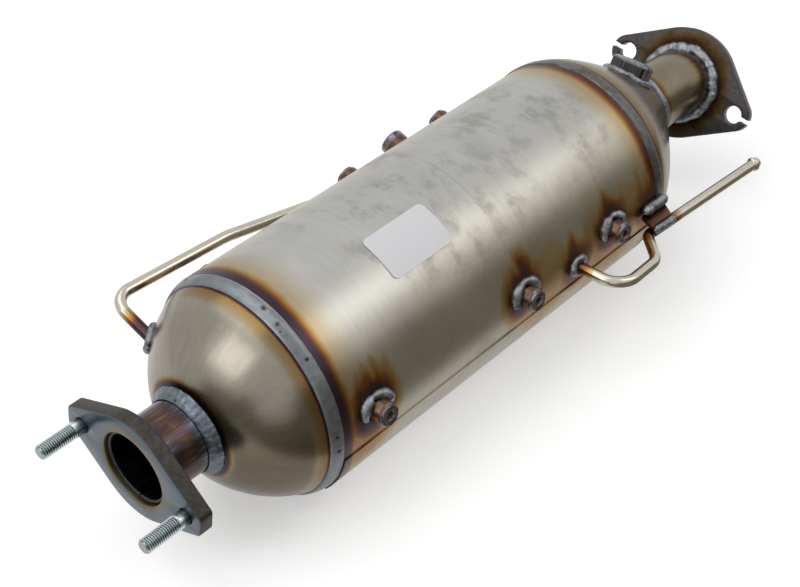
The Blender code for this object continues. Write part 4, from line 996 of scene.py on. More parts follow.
def evaluated_mesh(carrier):
    """Plain mesh of an object as its modifiers leave it."""
    bpy.context.view_layer.update()
    evaluated = carrier.evaluated_get(bpy.context.evaluated_depsgraph_get())
    return bpy.data.meshes.new_from_object(evaluated)


def wire(points, closed):
    """Mesh of one line through points."""
    mesh = bpy.data.meshes.new("path")
    ends = [(i, i + 1) for i in range(len(points) - 1)]
    if closed:
        ends.append((len(points) - 1, 0))
    mesh.from_pydata([tuple(point) for point in points], ends, [])
    return mesh


def grown(maker, source, **values):
    """Plain mesh that a geometry tree makes from a source mesh."""
    tree = tree_of(maker)
    carrier = shown("growing", source)
    modifier = carrier.modifiers.new("growth", "NODES")
    modifier.node_group = tree
    for item in tree.interface.items_tree:
        key = item.name.replace(" ", "_").lower()
        if item.in_out == "INPUT" and key in values:
            modifier[item.identifier] = values[key]
    mesh = evaluated_mesh(carrier)
    bpy.data.objects.remove(carrier)
    return mesh


def mesh_of(bm, name, material):
    """Mesh of a finished edit mesh."""
    mesh = bpy.data.meshes.new(name)
    bm.to_mesh(mesh)
    bm.free()
    mesh.materials.append(material)
    return mesh


def rings_mesh(rings, joined, material):
    """Mesh of quads between rings of points. The last ring joins the first, or both get a cap."""
    bm = bmesh.new()
    loops = [[bm.verts.new(point) for point in ring] for ring in rings]
    pairs = list(zip(loops, loops[1:]))
    if joined:
        pairs.append((loops[-1], loops[0]))
    for one, two in pairs:
        for i in range(len(one)):
            j = (i + 1) % len(one)
            bm.faces.new((one[i], one[j], two[j], two[i]))
    if not joined:
        bm.faces.new(loops[0])
        bm.faces.new(loops[-1])
    return mesh_of(bm, "rings", material)


def tidy_mesh(mesh):
    """Merges doubles, turns faces outwards and smooths all but the sharp edges."""
    bm = bmesh.new()
    bm.from_mesh(mesh)
    bmesh.ops.remove_doubles(bm, verts=bm.verts, dist=0.000004)
    loose = [v for v in bm.verts if not v.link_faces]
    bmesh.ops.delete(bm, geom=loose, context="VERTS")
    bmesh.ops.recalc_face_normals(bm, faces=bm.faces)
    bm.to_mesh(mesh)
    bm.free()
    mesh.shade_smooth()
    mesh.set_sharp_from_angle(angle=SMOOTH_ANGLE)


def joined_mesh(*meshes):
    bm = bmesh.new()
    for mesh in meshes:
        bm.from_mesh(mesh)
    return mesh_of(bm, "joined", meshes[0].materials[0])


def piece(name, mesh, slot, *nodes, place=None):
    """Finished piece that stands for CAD nodes."""
    if place:
        mesh.transform(place)
    tidy_mesh(mesh)
    made = shown(name, mesh)
    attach(made, "root")
    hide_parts(*nodes)
    return made


def bored(mesh, cutters):
    """The mesh with round holes, each a placement, a radius, two heights and a number of sides."""
    carrier = shown("bored", mesh)
    helpers = []
    for place, radius, low, high, sides in cutters:
        rings = [[place @ point for point in circle(radius, height, sides)] for height in (low, high)]
        cutter = shown("cutter", rings_mesh(rings, False, mesh.materials[0]))
        tidy_mesh(cutter.data)
        helpers.append(cutter)
        modifier = carrier.modifiers.new("bore", "BOOLEAN")
        modifier.operation = "DIFFERENCE"
        modifier.solver = "EXACT"
        modifier.object = cutter
    result = evaluated_mesh(carrier)
    for old in [carrier] + helpers:
        bpy.data.objects.remove(old)
    return result


def circle(radius, height, sides, centre=(0, 0)):
    turn = 2 * pi / sides
    return [
        Vector((centre[0] + radius * cos(turn * i), centre[1] + radius * sin(turn * i), height))
        for i in range(sides)
    ]


def turned(outline, sides, material, **growth):
    """Closed outline of (radius, height) turned about local Z."""
    path = 0.01
    outer = max(radius for radius, _ in outline)
    points = [Vector((radius - path, -height, 0)) for radius, height in outline]
    values = {"sides": sides, "path_radius": path, "outer_radius": outer, "material": material}
    values.update(growth)
    return grown(turned_tree, wire(points, True), **values)


def bead(path, closed, radius, material_name="bead", **growth):
    values = {"radius": radius, "ripple_pitch": fittings().ripple, "material": finish(material_name)}
    values.update(growth)
    return grown(bead_tree, wire(path, closed), **values)


def inset(points, distance):
    """The outline moved sideways by a wall."""
    moved = []
    for i, (radius, height) in enumerate(points):
        before = Vector(points[max(i - 1, 0)])
        after = Vector(points[min(i + 1, len(points) - 1)])
        run = (after - before).normalized()
        moved.append((radius - run.y * distance, height + run.x * distance))
    return moved


def dome_radius(height):
    """Radius of the dome's outside at this height above the shell's rim."""
    s = sizes()
    mouth = necks().outlet_od / 2 + SEAT_GAP
    share = max(0.0, 1 - (height / s.dome_length) ** s.dome_fullness)
    return mouth + (skirt_radius() - mouth) * share ** (1 / s.dome_fullness)


def rear_port_place():
    port = on_shell(-REAR_PORT_BACK, dome_radius(REAR_PORT_BACK), REAR_PORT_CLOCK)
    return facing(port, out_at(REAR_PORT_CLOCK))


def dome_outline(rings):
    s = sizes()
    mouth = necks().outlet_od / 2 + SEAT_GAP
    power = 2 / s.dome_fullness
    depth = skirt_radius() - mouth
    points = []
    for i in range(rings + 1):
        angle = pi / 2 * i / rings
        radius = mouth + depth * cos(angle) ** power if i < rings else mouth
        points.append((radius, s.dome_length * sin(angle) ** power))
    return points


def cone_ring(share):
    """Radius, height and shift of the cone's outside at this share of its tapered length."""
    s = sizes()
    mouth = necks().inlet_od / 2 + SEAT_GAP + s.wall
    shoulder = body_radius() - 0.0007
    radius = shoulder + (mouth - shoulder) * share**1.385
    height = CONE_LIP + (s.cone_length - CONE_LIP) * share
    return radius, height, s.cone_shift * share**2.9


def mouth_point(beyond=0.0):
    """Point on the inlet neck's first straight run, this far beyond the cone's mouth."""
    s = sizes()
    start = Vector((inlet_rim() + s.cone_length + beyond, 0, 0))
    return start + s.cone_shift * out_at(s.cone_shift_clock)


def inlet_axis():
    """Start, corner, end and end direction of the inlet neck's centre line."""
    n = necks()
    turn = radians(n.bend)
    heading = cos(turn) * ALONG + sin(turn) * out_at(n.bend_clock)
    reach = n.bend_radius * tan(turn / 2)
    corner = mouth_point(0.0324 + reach)
    return mouth_point(-n.insert), corner, corner + (reach + 0.0055) * heading, heading


def inlet_flange_place():
    n = necks()
    _, _, end, heading = inlet_axis()
    return facing(end + n.recess * heading, heading, flat=out_at(90 + n.lobe_twist))


def hex_place():
    s = sizes()
    share = (s.cone_length - 0.0158 - CONE_LIP) / (s.cone_length - CONE_LIP)
    radius, height, shift = cone_ring(share)
    lift = radius + shift * cos(radians(HEX_CLOCK - s.cone_shift_clock))
    foot = Vector((inlet_rim() + height, 0, 0)) + lift * out_at(HEX_CLOCK)
    return facing(foot, sin(HEX_TILT) * ALONG + cos(HEX_TILT) * out_at(HEX_CLOCK))


def rounded_route(corners, bends, steps):
    """Points of straight runs whose inner corners are rounded."""
    points = [corners[0]]
    for before, corner, after, bend in zip(corners, corners[1:], corners[2:], bends):
        back = (before - corner).normalized()
        ahead = (after - corner).normalized()
        turn = pi - back.angle(ahead)
        centre = corner + (back + ahead).normalized() * bend / cos(turn / 2)
        first = corner + back * bend * tan(turn / 2) - centre
        axis = back.cross(ahead)
        for i in range(steps + 1):
            points.append(centre + Quaternion(axis, -turn * i / steps) @ first)
    points.append(corners[-1])
    return points


def swept_rings(points, radii, sides):
    """Rings round a path, carried along it without twist."""
    runs = [(b - a).normalized() for a, b in zip(points, points[1:])]
    tangents = [runs[0]] + [(a + b).normalized() for a, b in zip(runs, runs[1:])] + [runs[-1]]
    across = tangents[0].orthogonal().normalized()
    rings = []
    for before, tangent, point, radius in zip(tangents[:1] + tangents, tangents, points, radii):
        across = before.rotation_difference(tangent) @ across
        over = tangent.cross(across)
        turn = 2 * pi / sides
        rings.append(
            [point + radius * (cos(turn * i) * across + sin(turn * i) * over) for i in range(sides)]
        )
    return rings


def bent_tube(points, outer, inner, sides, material):
    """Hollow tube along a path, with a radius for each point."""
    outside = swept_rings(points, outer, sides)
    inside = swept_rings(points, inner, sides)
    return rings_mesh(outside + inside[::-1], True, material)


FRONT_CORNERS = (
    (0.0, -0.0015, 0.0),
    (0.0021, 0.0353, 0.0018),
    (0.0453, 0.0336, 0.0042),
    (0.0658, 0.0119, 0.0060),
    (0.1858, 0.0199, 0.0060),
)


def front_port_at():
    return sizes().shell_length - 0.0912


def front_corner(past, lift, drop):
    """Point past the front pipe's port, off the shell and below the port."""
    down = ALONG.cross(out_at(90.0))
    return on_shell(front_port_at() + past, body_radius() + lift, 90.0) + drop * down


def front_tail_at(past):
    start, end = [front_corner(*corner) for corner in FRONT_CORNERS[3:]]
    return start.lerp(end, (past - FRONT_CORNERS[3][0]) / (FRONT_CORNERS[4][0] - FRONT_CORNERS[3][0]))


def rear_end_at():
    return sizes().shell_length - 0.1457


def rear_run():
    """Start and end of the rear pipe's last straight run."""
    start = on_shell(REAR_KINK_AT, body_radius() + 0.0198, -73.0)
    return start, on_shell(rear_end_at(), body_radius() + 0.0112, -84.6)


def rear_run_at(along):
    """Radius and clock angle of the rear pipe's last straight run at this station."""
    start, end = rear_run()
    point = start.lerp(end, (along - REAR_KINK_AT) / (rear_end_at() - REAR_KINK_AT))
    return hypot(point.y, point.z), degrees(atan2(-point.y, point.z))


def dented(mesh, dents):
    """Presses shallow dents, each a point, a radius and a depth, towards the axis."""
    for vertex in mesh.vertices:
        for centre, reach, depth in dents:
            away = (vertex.co - centre).length / reach
            if away < 1:
                inwards = Vector((0, vertex.co.y, vertex.co.z)).normalized()
                vertex.co -= inwards * depth * (1 - away * away) ** 2
    return mesh


def build_shell():
    s = sizes()
    radius, wall, tall = body_radius(), s.wall, s.shell_length
    steps = 60
    outline = [(radius, tall * i / steps) for i in range(steps + 1)]
    outline += [(radius - wall, tall), (radius - wall, 0)]
    body = turned(outline, s.sides, finish("shell"))
    body.transform(coaxial(s.outlet_reach))
    dents = (
        (on_shell(0.118, radius, 48), 0.030, 0.0005),
        (on_shell(0.205, radius, 20), 0.045, 0.0006),
        (on_shell(0.060, radius, -20), 0.040, 0.0005),
        (on_shell(0.150, radius, -100), 0.050, 0.0007),
        (on_shell(0.240, radius, 140), 0.050, 0.0006),
    )
    tidy_mesh(body)
    dented(body, dents)
    f = fittings()
    clear = f.pipe_od / 2 + SEAT_GAP
    heading = front_corner(*FRONT_CORNERS[1]) - front_corner(*FRONT_CORNERS[0])
    ports = (
        (facing(front_corner(0, 0, 0), heading), clear, -BORE_REACH, BORE_REACH, 32),
        (sensor_place(), f.sensor_bore / 2, -BORE_REACH, BORE_REACH, 40),
    )
    piece("filter_shell_body", bored(body, ports), "shell_steel", "filter_shell")


def wrapped(low, high, clocks, inner, outer, corner, steps, material):
    """Sheet bent round the shell between two clock angles, with rounded corners."""
    half_arc = radians(clocks[1] - clocks[0]) / 2 * outer
    middle = (clocks[0] + clocks[1]) / 2
    stations = [half_arc * (2 * i / steps - 1) for i in range(steps + 1)]
    if corner:
        ends = [half_arc - corner * (1 - sin(pi / 2 * i / 8)) for i in range(8)]
        stations = [x for x in stations if abs(x) < ends[0] - corner / 4]
        stations = sorted(stations + ends + [-x for x in ends] + [half_arc, -half_arc])
    rings = []
    for station in stations:
        past = max(0, abs(station) - (half_arc - corner))
        cut_back = corner - max(corner**2 - past**2, 0) ** 0.5 if corner else 0
        ends = (low + cut_back, high - cut_back)
        points = []
        for i in range(13):
            points.append((ends[0] + (ends[1] - ends[0]) * i / 12, outer))
        points += [(ends[1], inner), (ends[0], inner)]
        angle = middle + degrees(station / outer)
        rings.append([on_shell(along, radius, angle) for along, radius in points])
    return rings_mesh(rings, False, material)


def build_seam_and_label():
    s, f = sizes(), fittings()
    inner = body_radius() + SEAT_GAP / 3
    outer = body_radius() + SEAT_GAP + s.seam_lift
    ends, clocks = (0.0004, s.shell_length - 0.0004), (101.0, 131.0)
    strip = wrapped(*ends, clocks, inner, outer, 0, 24, finish("shell"))
    piece("shell_seam_strip", strip, "shell_steel", "shell_seam")
    outer = body_radius() + SEAT_GAP + f.label_lift
    ends, clocks = (0.078, 0.132), (14.0, 38.0)
    sheet = wrapped(*ends, clocks, inner, outer, f.label_corner, 26, finish("paper"))
    piece("paper_label", sheet, "label_paper", "blank_label")


def build_dome():
    s = sizes()
    mouth = necks().outlet_od / 2 + SEAT_GAP
    outside = [(skirt_radius(), -s.skirt), (skirt_radius(), -s.skirt / 2)] + dome_outline(40)
    inside = [point for point in inset(outside, s.wall) if point[0] > mouth]
    inside[0] = (skirt_radius() - s.wall, -s.skirt)
    inside.append((mouth, s.dome_length - s.wall))
    body = turned(outside + inside[::-1], s.sides, finish("dome"))
    body.transform(coaxial(s.outlet_reach, -1))
    tidy_mesh(body)
    radius = body_radius()
    dents = (
        (on_shell(-0.030, radius * 0.86, 60), 0.026, 0.0004),
        (on_shell(-0.024, radius * 0.90, 8), 0.030, 0.0004),
    )
    dented(body, dents)
    cutter = (rear_port_place(), fittings().pipe_od / 2 + SEAT_GAP, -BORE_REACH, BORE_REACH, 32)
    piece("outlet_dome_body", bored(body, (cutter,)), "tinted_steel", "outlet_dome")


def build_cone():
    s = sizes()
    steps = 36
    skirt = skirt_radius()
    shoulder = cone_ring(0)[0]
    outside = [(skirt, -s.skirt, 0.0), (skirt, 0.003, 0.0)]
    for i in range(1, 8):
        share = i / 8
        ease = share * share * (3 - 2 * share)
        outside.append((skirt + (shoulder - skirt) * ease, 0.003 + 0.006 * share, 0.0))
    for i in range(steps + 1):
        outside.append(cone_ring(i / steps))
    moved = inset([(radius, height) for radius, height, _ in outside], s.wall)
    inside = [(r, h, ring[2]) for (r, h), ring in zip(moved, outside)]
    mouth = necks().inlet_od / 2 + SEAT_GAP
    inside[0] = (skirt - s.wall, -s.skirt, 0.0)
    inside[-1] = (mouth, s.cone_length - s.wall, s.cone_shift)
    outline = outside + [(mouth, s.cone_length, s.cone_shift)] + inside[::-1]
    side = radians(s.cone_shift_clock)
    rings = [
        circle(radius, height, s.sides, (shift * cos(side), shift * sin(side)))
        for radius, height, shift in outline
    ]
    body = rings_mesh(rings, True, finish("cone"))
    body.transform(coaxial(inlet_rim()))
    tidy_mesh(body)
    cutter = (hex_place(), fittings().sensor_bore / 2, -BORE_REACH, BORE_REACH, 40)
    piece("inlet_cone_body", bored(body, (cutter,)), "tinted_steel", "inlet_cone")


def band_outline(drops):
    """Outline of the wide bead at a shell's end, as (radius, height)."""
    crown, foot = [body_radius() - drop for drop in drops]
    rim, wide = body_radius(), sizes().band_width
    knots = (
        (rim - 0.0001, 0.0002),
        (crown + 0.0001, 0.0010),
        (crown, 0.0027),
        (foot + (crown - foot) * 0.84, 0.0045),
        (foot + (crown - foot) * 0.58, 0.0062),
        (foot + (crown - foot) * 0.28, 0.0078),
        (foot - 0.0003, wide),
    )
    points = []
    for i, (one, two) in enumerate(zip(knots, knots[1:])):
        before = knots[max(i - 1, 0)]
        after = knots[min(i + 2, len(knots) - 1)]
        for j in range(3):
            t = j / 3
            points.append(tuple(spline(a, b, c, d, t) for a, b, c, d in zip(before, one, two, after)))
    points.append(knots[-1])
    return points + [(foot - 0.0022, wide), (foot - 0.0026, 0.0002)]


def spline(a, b, c, d, t):
    """Smooth curve from b to c."""
    return b + 0.5 * t * (c - a + t * (2 * a - 5 * b + 4 * c - d + t * (3 * (b - c) + d - a)))


def band_craters():
    """Centre, radius and depth of the craters in the outlet band."""
    return [
        (on_shell(-back, body_radius() - 0.001, angle), reach, depth)
        for back, angle, reach, depth in OUTLET_CRATERS
    ]


def build_bands():
    s = sizes()
    growth = {"lump_height": 0.0005, "lump_scale": 60.0, "ripple_height": 0.00003, "ripples": 330.0}
    drops_out, drops_in = (0.0004, 0.0028), (-0.0006, 0.0001)
    band = turned(band_outline(drops_out), 900, finish("band"), **growth)
    band.transform(coaxial(s.outlet_reach, -1))
    piece("outlet_weld_band", dented(band, band_craters()), "weld_bead", "outlet_dome_weld")
    band = turned(band_outline(drops_in), 900, finish("inlet band"), **growth)
    piece("inlet_weld_band", band, "weld_bead", "inlet_cone_weld", place=coaxial(inlet_rim()))


OUTLET_CRATERS = (
    (0.0035, 14.0, 0.0019, 0.0009),
    (0.0050, 24.0, 0.0017, 0.0008),
    (0.0042, 44.0, 0.0017, 0.0008),
    (0.0046, 84.0, 0.0020, 0.0010),
    (0.0040, 92.0, 0.0017, 0.0008),
    (0.0044, -40.0, 0.0015, 0.0007),
    (0.0040, 150.0, 0.0015, 0.0007),
)


def ring_path(radius, height, sides=180, wander=0.0, seed=0.0):
    """Ring about local Z whose height and radius wander a little."""
    points = []
    for i in range(sides):
        angle = 2 * pi * i / sides + pi
        spot = Vector((cos(angle) * 2.2, sin(angle) * 2.2, seed))
        drift = noise.noise(spot)
        rise = noise.noise(spot + Vector((9, 0, 0)))
        reach = radius + wander * drift
        points.append(Vector((reach * cos(angle), reach * sin(angle), height + wander * rise)))
    return points


def build_outlet_neck():
    s, n = sizes(), necks()
    radius = n.outlet_od / 2
    start = s.outlet_reach - s.dome_length + n.insert
    tall = start - n.recess
    steps = 24
    outline = [(radius, tall * i / steps) for i in range(steps + 1)]
    outline += [(radius - n.wall, tall), (radius - n.wall, 0)]
    tube = turned(outline, 96, finish("outlet neck"))
    piece("outlet_neck_tube", tube, "tinted_steel", "outlet_neck", place=coaxial(start, -1))
    foot, crown, steps = 0.0056, 0.0070, 14
    rim = [(radius + foot - 0.0006, -0.0024)]
    for i in range(steps + 1):
        share = i / steps
        rim.append((radius + 0.0006 + (foot - 0.0006) * (1 - share) ** 0.8, crown * share - 0.0004))
    rim += [(radius + 0.0003, crown - 0.0008), (radius + 0.0003, -0.0024)]
    ring = turned(
        rim, 300, finish("neck bead"), outer_radius=radius + 0.0024, lump_height=0.0030,
        lump_scale=105.0, ripple_height=0.0001, ripples=44.0,
    )
    place = coaxial(s.outlet_reach - s.dome_length, -1)
    piece("outlet_neck_bead", ring, "weld_bead", "outlet_neck_weld", place=place)
    path = ring_path(radius - 0.0010, 0.0)
    ring = bead(path, True, 0.0012, "bore bead", sides=12, seed=5.0, lump_height=0.0005)
    piece("outlet_bore_bead", ring, "weld_bead", "outlet_bore_weld", place=coaxial(n.recess - 0.0012, -1))


def arc_points(centre, radius, start, end, steps):
    points = []
    for i in range(steps + 1):
        angle = start + (end - start) * i / steps
        points.append(Vector((centre[0] + radius * cos(angle), centre[1] + radius * sin(angle))))
    return points


def rounded_corner(before, corner, after, radius, steps):
    """Arc that rounds the corner of a flat outline."""
    back = (before - corner).normalized()
    ahead = (after - corner).normalized()
    half = acos(max(-1, min(1, back.dot(ahead)))) / 2
    centre = corner + (back + ahead).normalized() * radius / sin(half)
    first = corner + back * radius / tan(half) - centre
    last = corner + ahead * radius / tan(half) - centre
    turn = first.angle_signed(last)
    points = []
    for i in range(steps + 1):
        angle = turn * i / steps
        x = first.x * cos(angle) + first.y * sin(angle)
        y = first.y * cos(angle) - first.x * sin(angle)
        points.append(centre + Vector((x, y)))
    return points


def flat_lobed_outline():
    """Disc with two tapered lobes that end flat."""
    disc, half_length, half_width, corner = 0.037, 0.0575, 0.0075, 0.0046
    tip = Vector((half_length, half_width))
    tangent = tip.angle_signed(Vector((1, 0))) + acos(disc / tip.length)
    top = arc_points((0, 0), disc, tangent, pi - tangent, 36)
    bottom = arc_points((0, 0), disc, pi + tangent, 2 * pi - tangent, 36)
    far_left, far_right = Vector((-half_length, half_width)), Vector((half_length, -half_width))
    low_left = Vector((-half_length, -half_width))
    corners = (
        (top[-1], far_left, low_left),
        (far_left, low_left, bottom[0]),
        (bottom[-1], far_right, tip),
        (far_right, tip, top[0]),
    )
    arcs = [rounded_corner(*points, corner, 8) for points in corners]
    return top + arcs[0] + arcs[1] + bottom + arcs[2] + arcs[3]


def round_lobed_outline():
    """Hull of a disc and a small circle round each keyhole, with a slot out of each keyhole."""
    n = necks()
    disc, lobe, half, hole, slot = 0.043, 0.013, n.bolt_spacing_in / 2, 0.007, 0.0021
    tangent = pi / 2 - asin((disc - lobe) / half)
    notch = asin(slot / lobe)
    inner = asin(slot / hole)
    points = arc_points((0, 0), disc, tangent, pi - tangent, 40)
    points += arc_points((-half, 0), lobe, pi - tangent, pi - notch, 14)
    points += arc_points((-half, 0), hole, pi - inner, inner - pi, 40)
    points += arc_points((-half, 0), lobe, pi + notch, pi + tangent, 14)
    points += arc_points((0, 0), disc, pi + tangent, 2 * pi - tangent, 40)
    points += arc_points((half, 0), lobe, -tangent, -notch, 14)
    points += arc_points((half, 0), hole, -inner, inner - 2 * pi, 40)
    points += arc_points((half, 0), lobe, notch, tangent, 14)
    return points


def plate_mesh(outline, holes, thickness, edge, material):
    """Flat outline with round holes, as thick as told, all its rims rounded."""
    curve = bpy.data.curves.new("plate outline", "CURVE")
    curve.dimensions = "2D"
    curve.fill_mode = "BOTH"
    curve.extrude = thickness / 2 - edge
    curve.bevel_depth = edge
    curve.bevel_resolution = 2
    curve.offset = -edge
    loops = [outline] + [arc_points(centre, radius, 0, 2 * pi, 64)[:-1] for centre, radius in holes]
    for loop in loops:
        kept = [p for i, p in enumerate(loop) if (p - loop[i - 1]).length > 0.00002]
        run = curve.splines.new("POLY")
        run.points.add(len(kept) - 1)
        for point, spot in zip(run.points, kept):
            point.co = (spot.x, spot.y, 0, 1)
        run.use_cyclic_u = True
    carrier = shown("plate outline", curve)
    mesh = evaluated_mesh(carrier)
    bpy.data.objects.remove(carrier)
    mesh.materials.clear()
    mesh.materials.append(material)
    mesh.transform(Matrix.Translation((0, 0, -thickness / 2)))
    return mesh


def build_outlet_flange():
    n = necks()
    place = facing(Vector((0, 0, 0)), -ALONG, flat=out_at(n.lobe_clock))
    half = n.bolt_spacing_out / 2
    hole = n.stud_diameter / 2 + SEAT_GAP
    holes = (((0, 0), n.outlet_od / 2 + SEAT_GAP), ((half, 0), hole), ((-half, 0), hole))
    plate = plate_mesh(flat_lobed_outline(), holes, n.outlet_plate, 0.0008, finish("outlet flange"))
    piece("outlet_flange_plate", plate, "flange_steel", "outlet_flange", place=place)
    source = bpy.data.meshes.new("seed")
    for name, side in (("front", 1), ("rear", -1)):
        rod = grown(
            thread_tree, source, radius=n.stud_diameter / 2, bottom=-n.outlet_plate - 0.0015,
            top=n.stud_proud, pitch=n.stud_pitch, material=finish("stud"),
        )
        spot = place @ Matrix.Translation((side * half, 0, 0))
        piece("stud_" + name, rod, "stud_steel", "outlet_stud_" + name, place=spot)


def build_inlet_neck():
    n = necks()
    start, corner, end, _ = inlet_axis()
    points = rounded_route((start, corner, end), (n.bend_radius,), 22)
    first = [points[0].lerp(points[1], i / 8) for i in range(8)]
    points = first + points[1:]
    radius = n.inlet_od / 2
    outer, inner = [radius] * len(points), [radius - n.wall] * len(points)
    tube = bent_tube(points, outer, inner, 96, finish("inlet neck"))
    piece("inlet_neck_tube", tube, "shell_steel", "inlet_neck")
    foot = facing(mouth_point(), ALONG, flat=Vector((0, 0, 1)))
    path = ring_path(radius + 0.0012, 0.0008, wander=0.0005, seed=2.0)
    ring = bead(path, True, 0.0027, rise=1.15, sides=16, seed=7.0, lump_height=0.0012)
    piece("inlet_neck_bead", ring, "weld_bead", "inlet_neck_weld", place=foot)
    place = inlet_flange_place()
    seat = place @ Matrix.Translation((0, 0, -n.inlet_plate)) @ Matrix.Rotation(pi, 4, "X")
    path = ring_path(radius + 0.0016, 0.0012, wander=0.0007, seed=4.0)
    ring = bead(
        path, True, 0.0046, sides=18, seed=9.0, lump_height=0.0042,
        lump_scale=100.0, ripple_height=0.0004, ripple_pitch=0.0085,
    )
    piece("inlet_flange_bead", ring, "weld_bead", "inlet_flange_weld", place=seat)
    clear = n.inlet_od / 2 + SEAT_GAP
    holes = (((0, 0), clear),)
    plate = plate_mesh(round_lobed_outline(), holes, n.inlet_plate, 0.0012, finish("inlet flange"))
    piece("inlet_flange_plate", plate, "flange_steel", "inlet_flange", place=place)


def tapped(radius, top, bottom, pitch, depth):
    """Outline of a tapped hole from its top down, with a groove for each turn."""
    points = []
    turns = floor((top - bottom) / pitch)
    profile = ((radius, 0.15), (radius + depth, 0.5), (radius, 0.85))
    for i in range(turns):
        points += [(reach, top - i * pitch - pitch * share) for reach, share in profile]
    return points + [(radius, bottom)]


def hexagon_angles(i, sides):
    """How far a ring's point is from the middle of its flat, and the point's direction."""
    angle = 2 * pi * i / sides
    return (angle + pi / 6) % (pi / 3) - pi / 6, angle + pi / 6


def hexagon_ring(flats, height, sides, slope):
    """Ring of a hexagon with its corners cut back, which slope down from the flats' middles."""
    points = []
    for i in range(sides):
        off, turn = hexagon_angles(i, sides)
        corner = min(flats / cos(off), flats * 1.118)
        drop = slope * (corner - flats)
        points.append(Vector((corner * cos(turn), corner * sin(turn), height - drop)))
    return points


def build_hexagon():
    f = fittings()
    place = hex_place()
    flats, top, rim, sides = f.hex_flats / 2, f.hex_height, 0.00675, 120
    rings = [
        hexagon_ring(flats, -top, sides, 0.0),
        hexagon_ring(flats, top - 0.0006, sides, 0.55),
        circle_like(flats * 0.985, top - 0.0001, sides),
        circle_like(flats * 0.955, top, sides),
        circle_like(rim + 0.0010, top, sides),
        circle_like(rim, top - 0.0004, sides),
    ]
    for radius, height in tapped(f.sensor_bore / 2, top - 0.0024, -top, 0.0015, 0.0006):
        rings.append(circle_like(radius, height, sides))
    body = rings_mesh(rings, True, finish("hexagon"))
    piece("hexagon_boss", body, "boss_steel", "hex_sensor_boss", place=place)
    path = []
    for i in range(160):
        off, turn = hexagon_angles(i, 160)
        reach = min((flats + 0.0016) / cos(off), (flats + 0.0016) * 1.10)
        spot = place @ Vector((reach * cos(turn), reach * sin(turn), 0))
        path.append(dropped_to_cone(spot, place))
    ring = bead(path, True, 0.0024, seed=11.0, lump_height=0.0016, ripple_height=0.0004)
    piece("hexagon_bead", ring, "weld_bead", "hex_boss_weld")


def circle_like(radius, height, sides):
    """Circle whose points line up with those of the hexagon's rings."""
    turns = [2 * pi * i / sides + pi / 6 for i in range(sides)]
    return [Vector((radius * cos(turn), radius * sin(turn), height)) for turn in turns]


def cone_surface(x, angle):
    """Distance from the body's axis to the cone's outside at this X and clock angle."""
    s = sizes()
    height = x - inlet_rim()
    share = min(1.0, max(0.0, (height - CONE_LIP) / (s.cone_length - CONE_LIP)))
    radius, _, shift = cone_ring(share)
    lean = radians(angle - s.cone_shift_clock)
    return shift * cos(lean) + max(0.0, radius**2 - (shift * sin(lean)) ** 2) ** 0.5


def dropped_to_cone(spot, place):
    """The point on the cone or the inlet neck below a point, along a placement's local Z."""
    down = -(place.to_3x3() @ Vector((0, 0, 1)))
    top = spot - 0.014 * down
    mouth = mouth_point()
    for step in range(240):
        at = top + down * step * 0.00015
        if at.x < mouth.x:
            surface = cone_surface(at.x, degrees(atan2(-at.y, at.z)))
            away = hypot(at.y, at.z)
        else:
            surface = necks().inlet_od / 2
            away = hypot(at.y - mouth.y, at.z - mouth.z)
        if away < surface + 0.0006:
            return at
    return spot


def build_standoffs():
    f = fittings()
    radius, hole, top, step = f.standoff_od / 2, f.standoff_bore / 2, f.standoff_proud, 0.0012
    outline = [
        (radius, -0.0015),
        (radius, top - 2 * step - 0.0004),
        (radius - 0.0003, top - 2 * step + 0.0001),
        (radius - step + 0.0001, top - step - 0.0002),
        (radius - step, top - step),
        (radius - step, top - 0.0003),
        (radius - step - 0.0003, top),
        (hole + 0.0007, top),
        (hole + 0.0001, top - 0.0006),
    ]
    outline += tapped(hole, top - 0.0006, top - 0.009, 0.001, 0.0004)
    outline += [(0.0004, top - 0.0098), (0.0004, top - 0.0108), (radius - 0.001, -0.0015)]
    names = [f"{side}_standoff_{{}}_{number}" for side in ("front", "rear") for number in (1, 2, 3)]
    for name, (along, angle) in zip(names, standoff_spots()):
        body = turned(outline, 56, finish("boss"))
        place = facing(on_shell(along, body_radius(), angle), out_at(angle))
        piece(name.format("boss"), body, "boss_steel", name.replace("{}_", ""), place=place)
        run = open_bead(along, angle, int(name[-1]))
        piece(name.format("bead"), run, "weld_bead", name.format("weld"))


def open_bead(along, angle, number):
    """Bead round most of a standoff, open on the shell's lower side."""
    reach = fittings().standoff_od / 2 + 0.0021
    points = []
    steps = 60
    for i in range(steps + 1):
        turn = radians(222) * (i / steps - 0.5)
        side = 1 if angle > 0 else -1
        wander = 0.0005 * noise.noise(Vector((i * 0.16, along * 90, angle)))
        up = side * (reach + wander) * cos(turn) / body_radius()
        spot = on_shell(along, body_radius() + 0.0009, angle - degrees(up))
        points.append(spot + (reach + wander) * sin(turn) * ALONG)
    return bead(
        points, False, 0.0030, seed=20.0 + number + angle, lump_height=0.0034,
        lump_scale=95.0, ripple_height=0.0003, ripple_pitch=0.0066, end_taper=0.0022, bulge=0.34,
    )


def sensor_place():
    at = sizes().shell_length - 0.0967
    return facing(on_shell(at, body_radius(), SENSOR_CLOCK), out_at(SENSOR_CLOCK))


def saddle_path(place, reach, surface, steps=90, wander=0.0003, seed=0.0):
    """Ring round a boss whose points lie on the surface below it."""
    points = []
    for i in range(steps):
        angle = 2 * pi * i / steps
        drift = wander * noise.noise(Vector((cos(angle) * 2, sin(angle) * 2, seed)))
        spot = place @ Vector(((reach + drift) * cos(angle), (reach + drift) * sin(angle), 0))
        flat = Vector((0, spot.y, spot.z))
        away = surface(spot.x)
        points.append(Vector((spot.x, 0, 0)) + flat.normalized() * away)
    return points


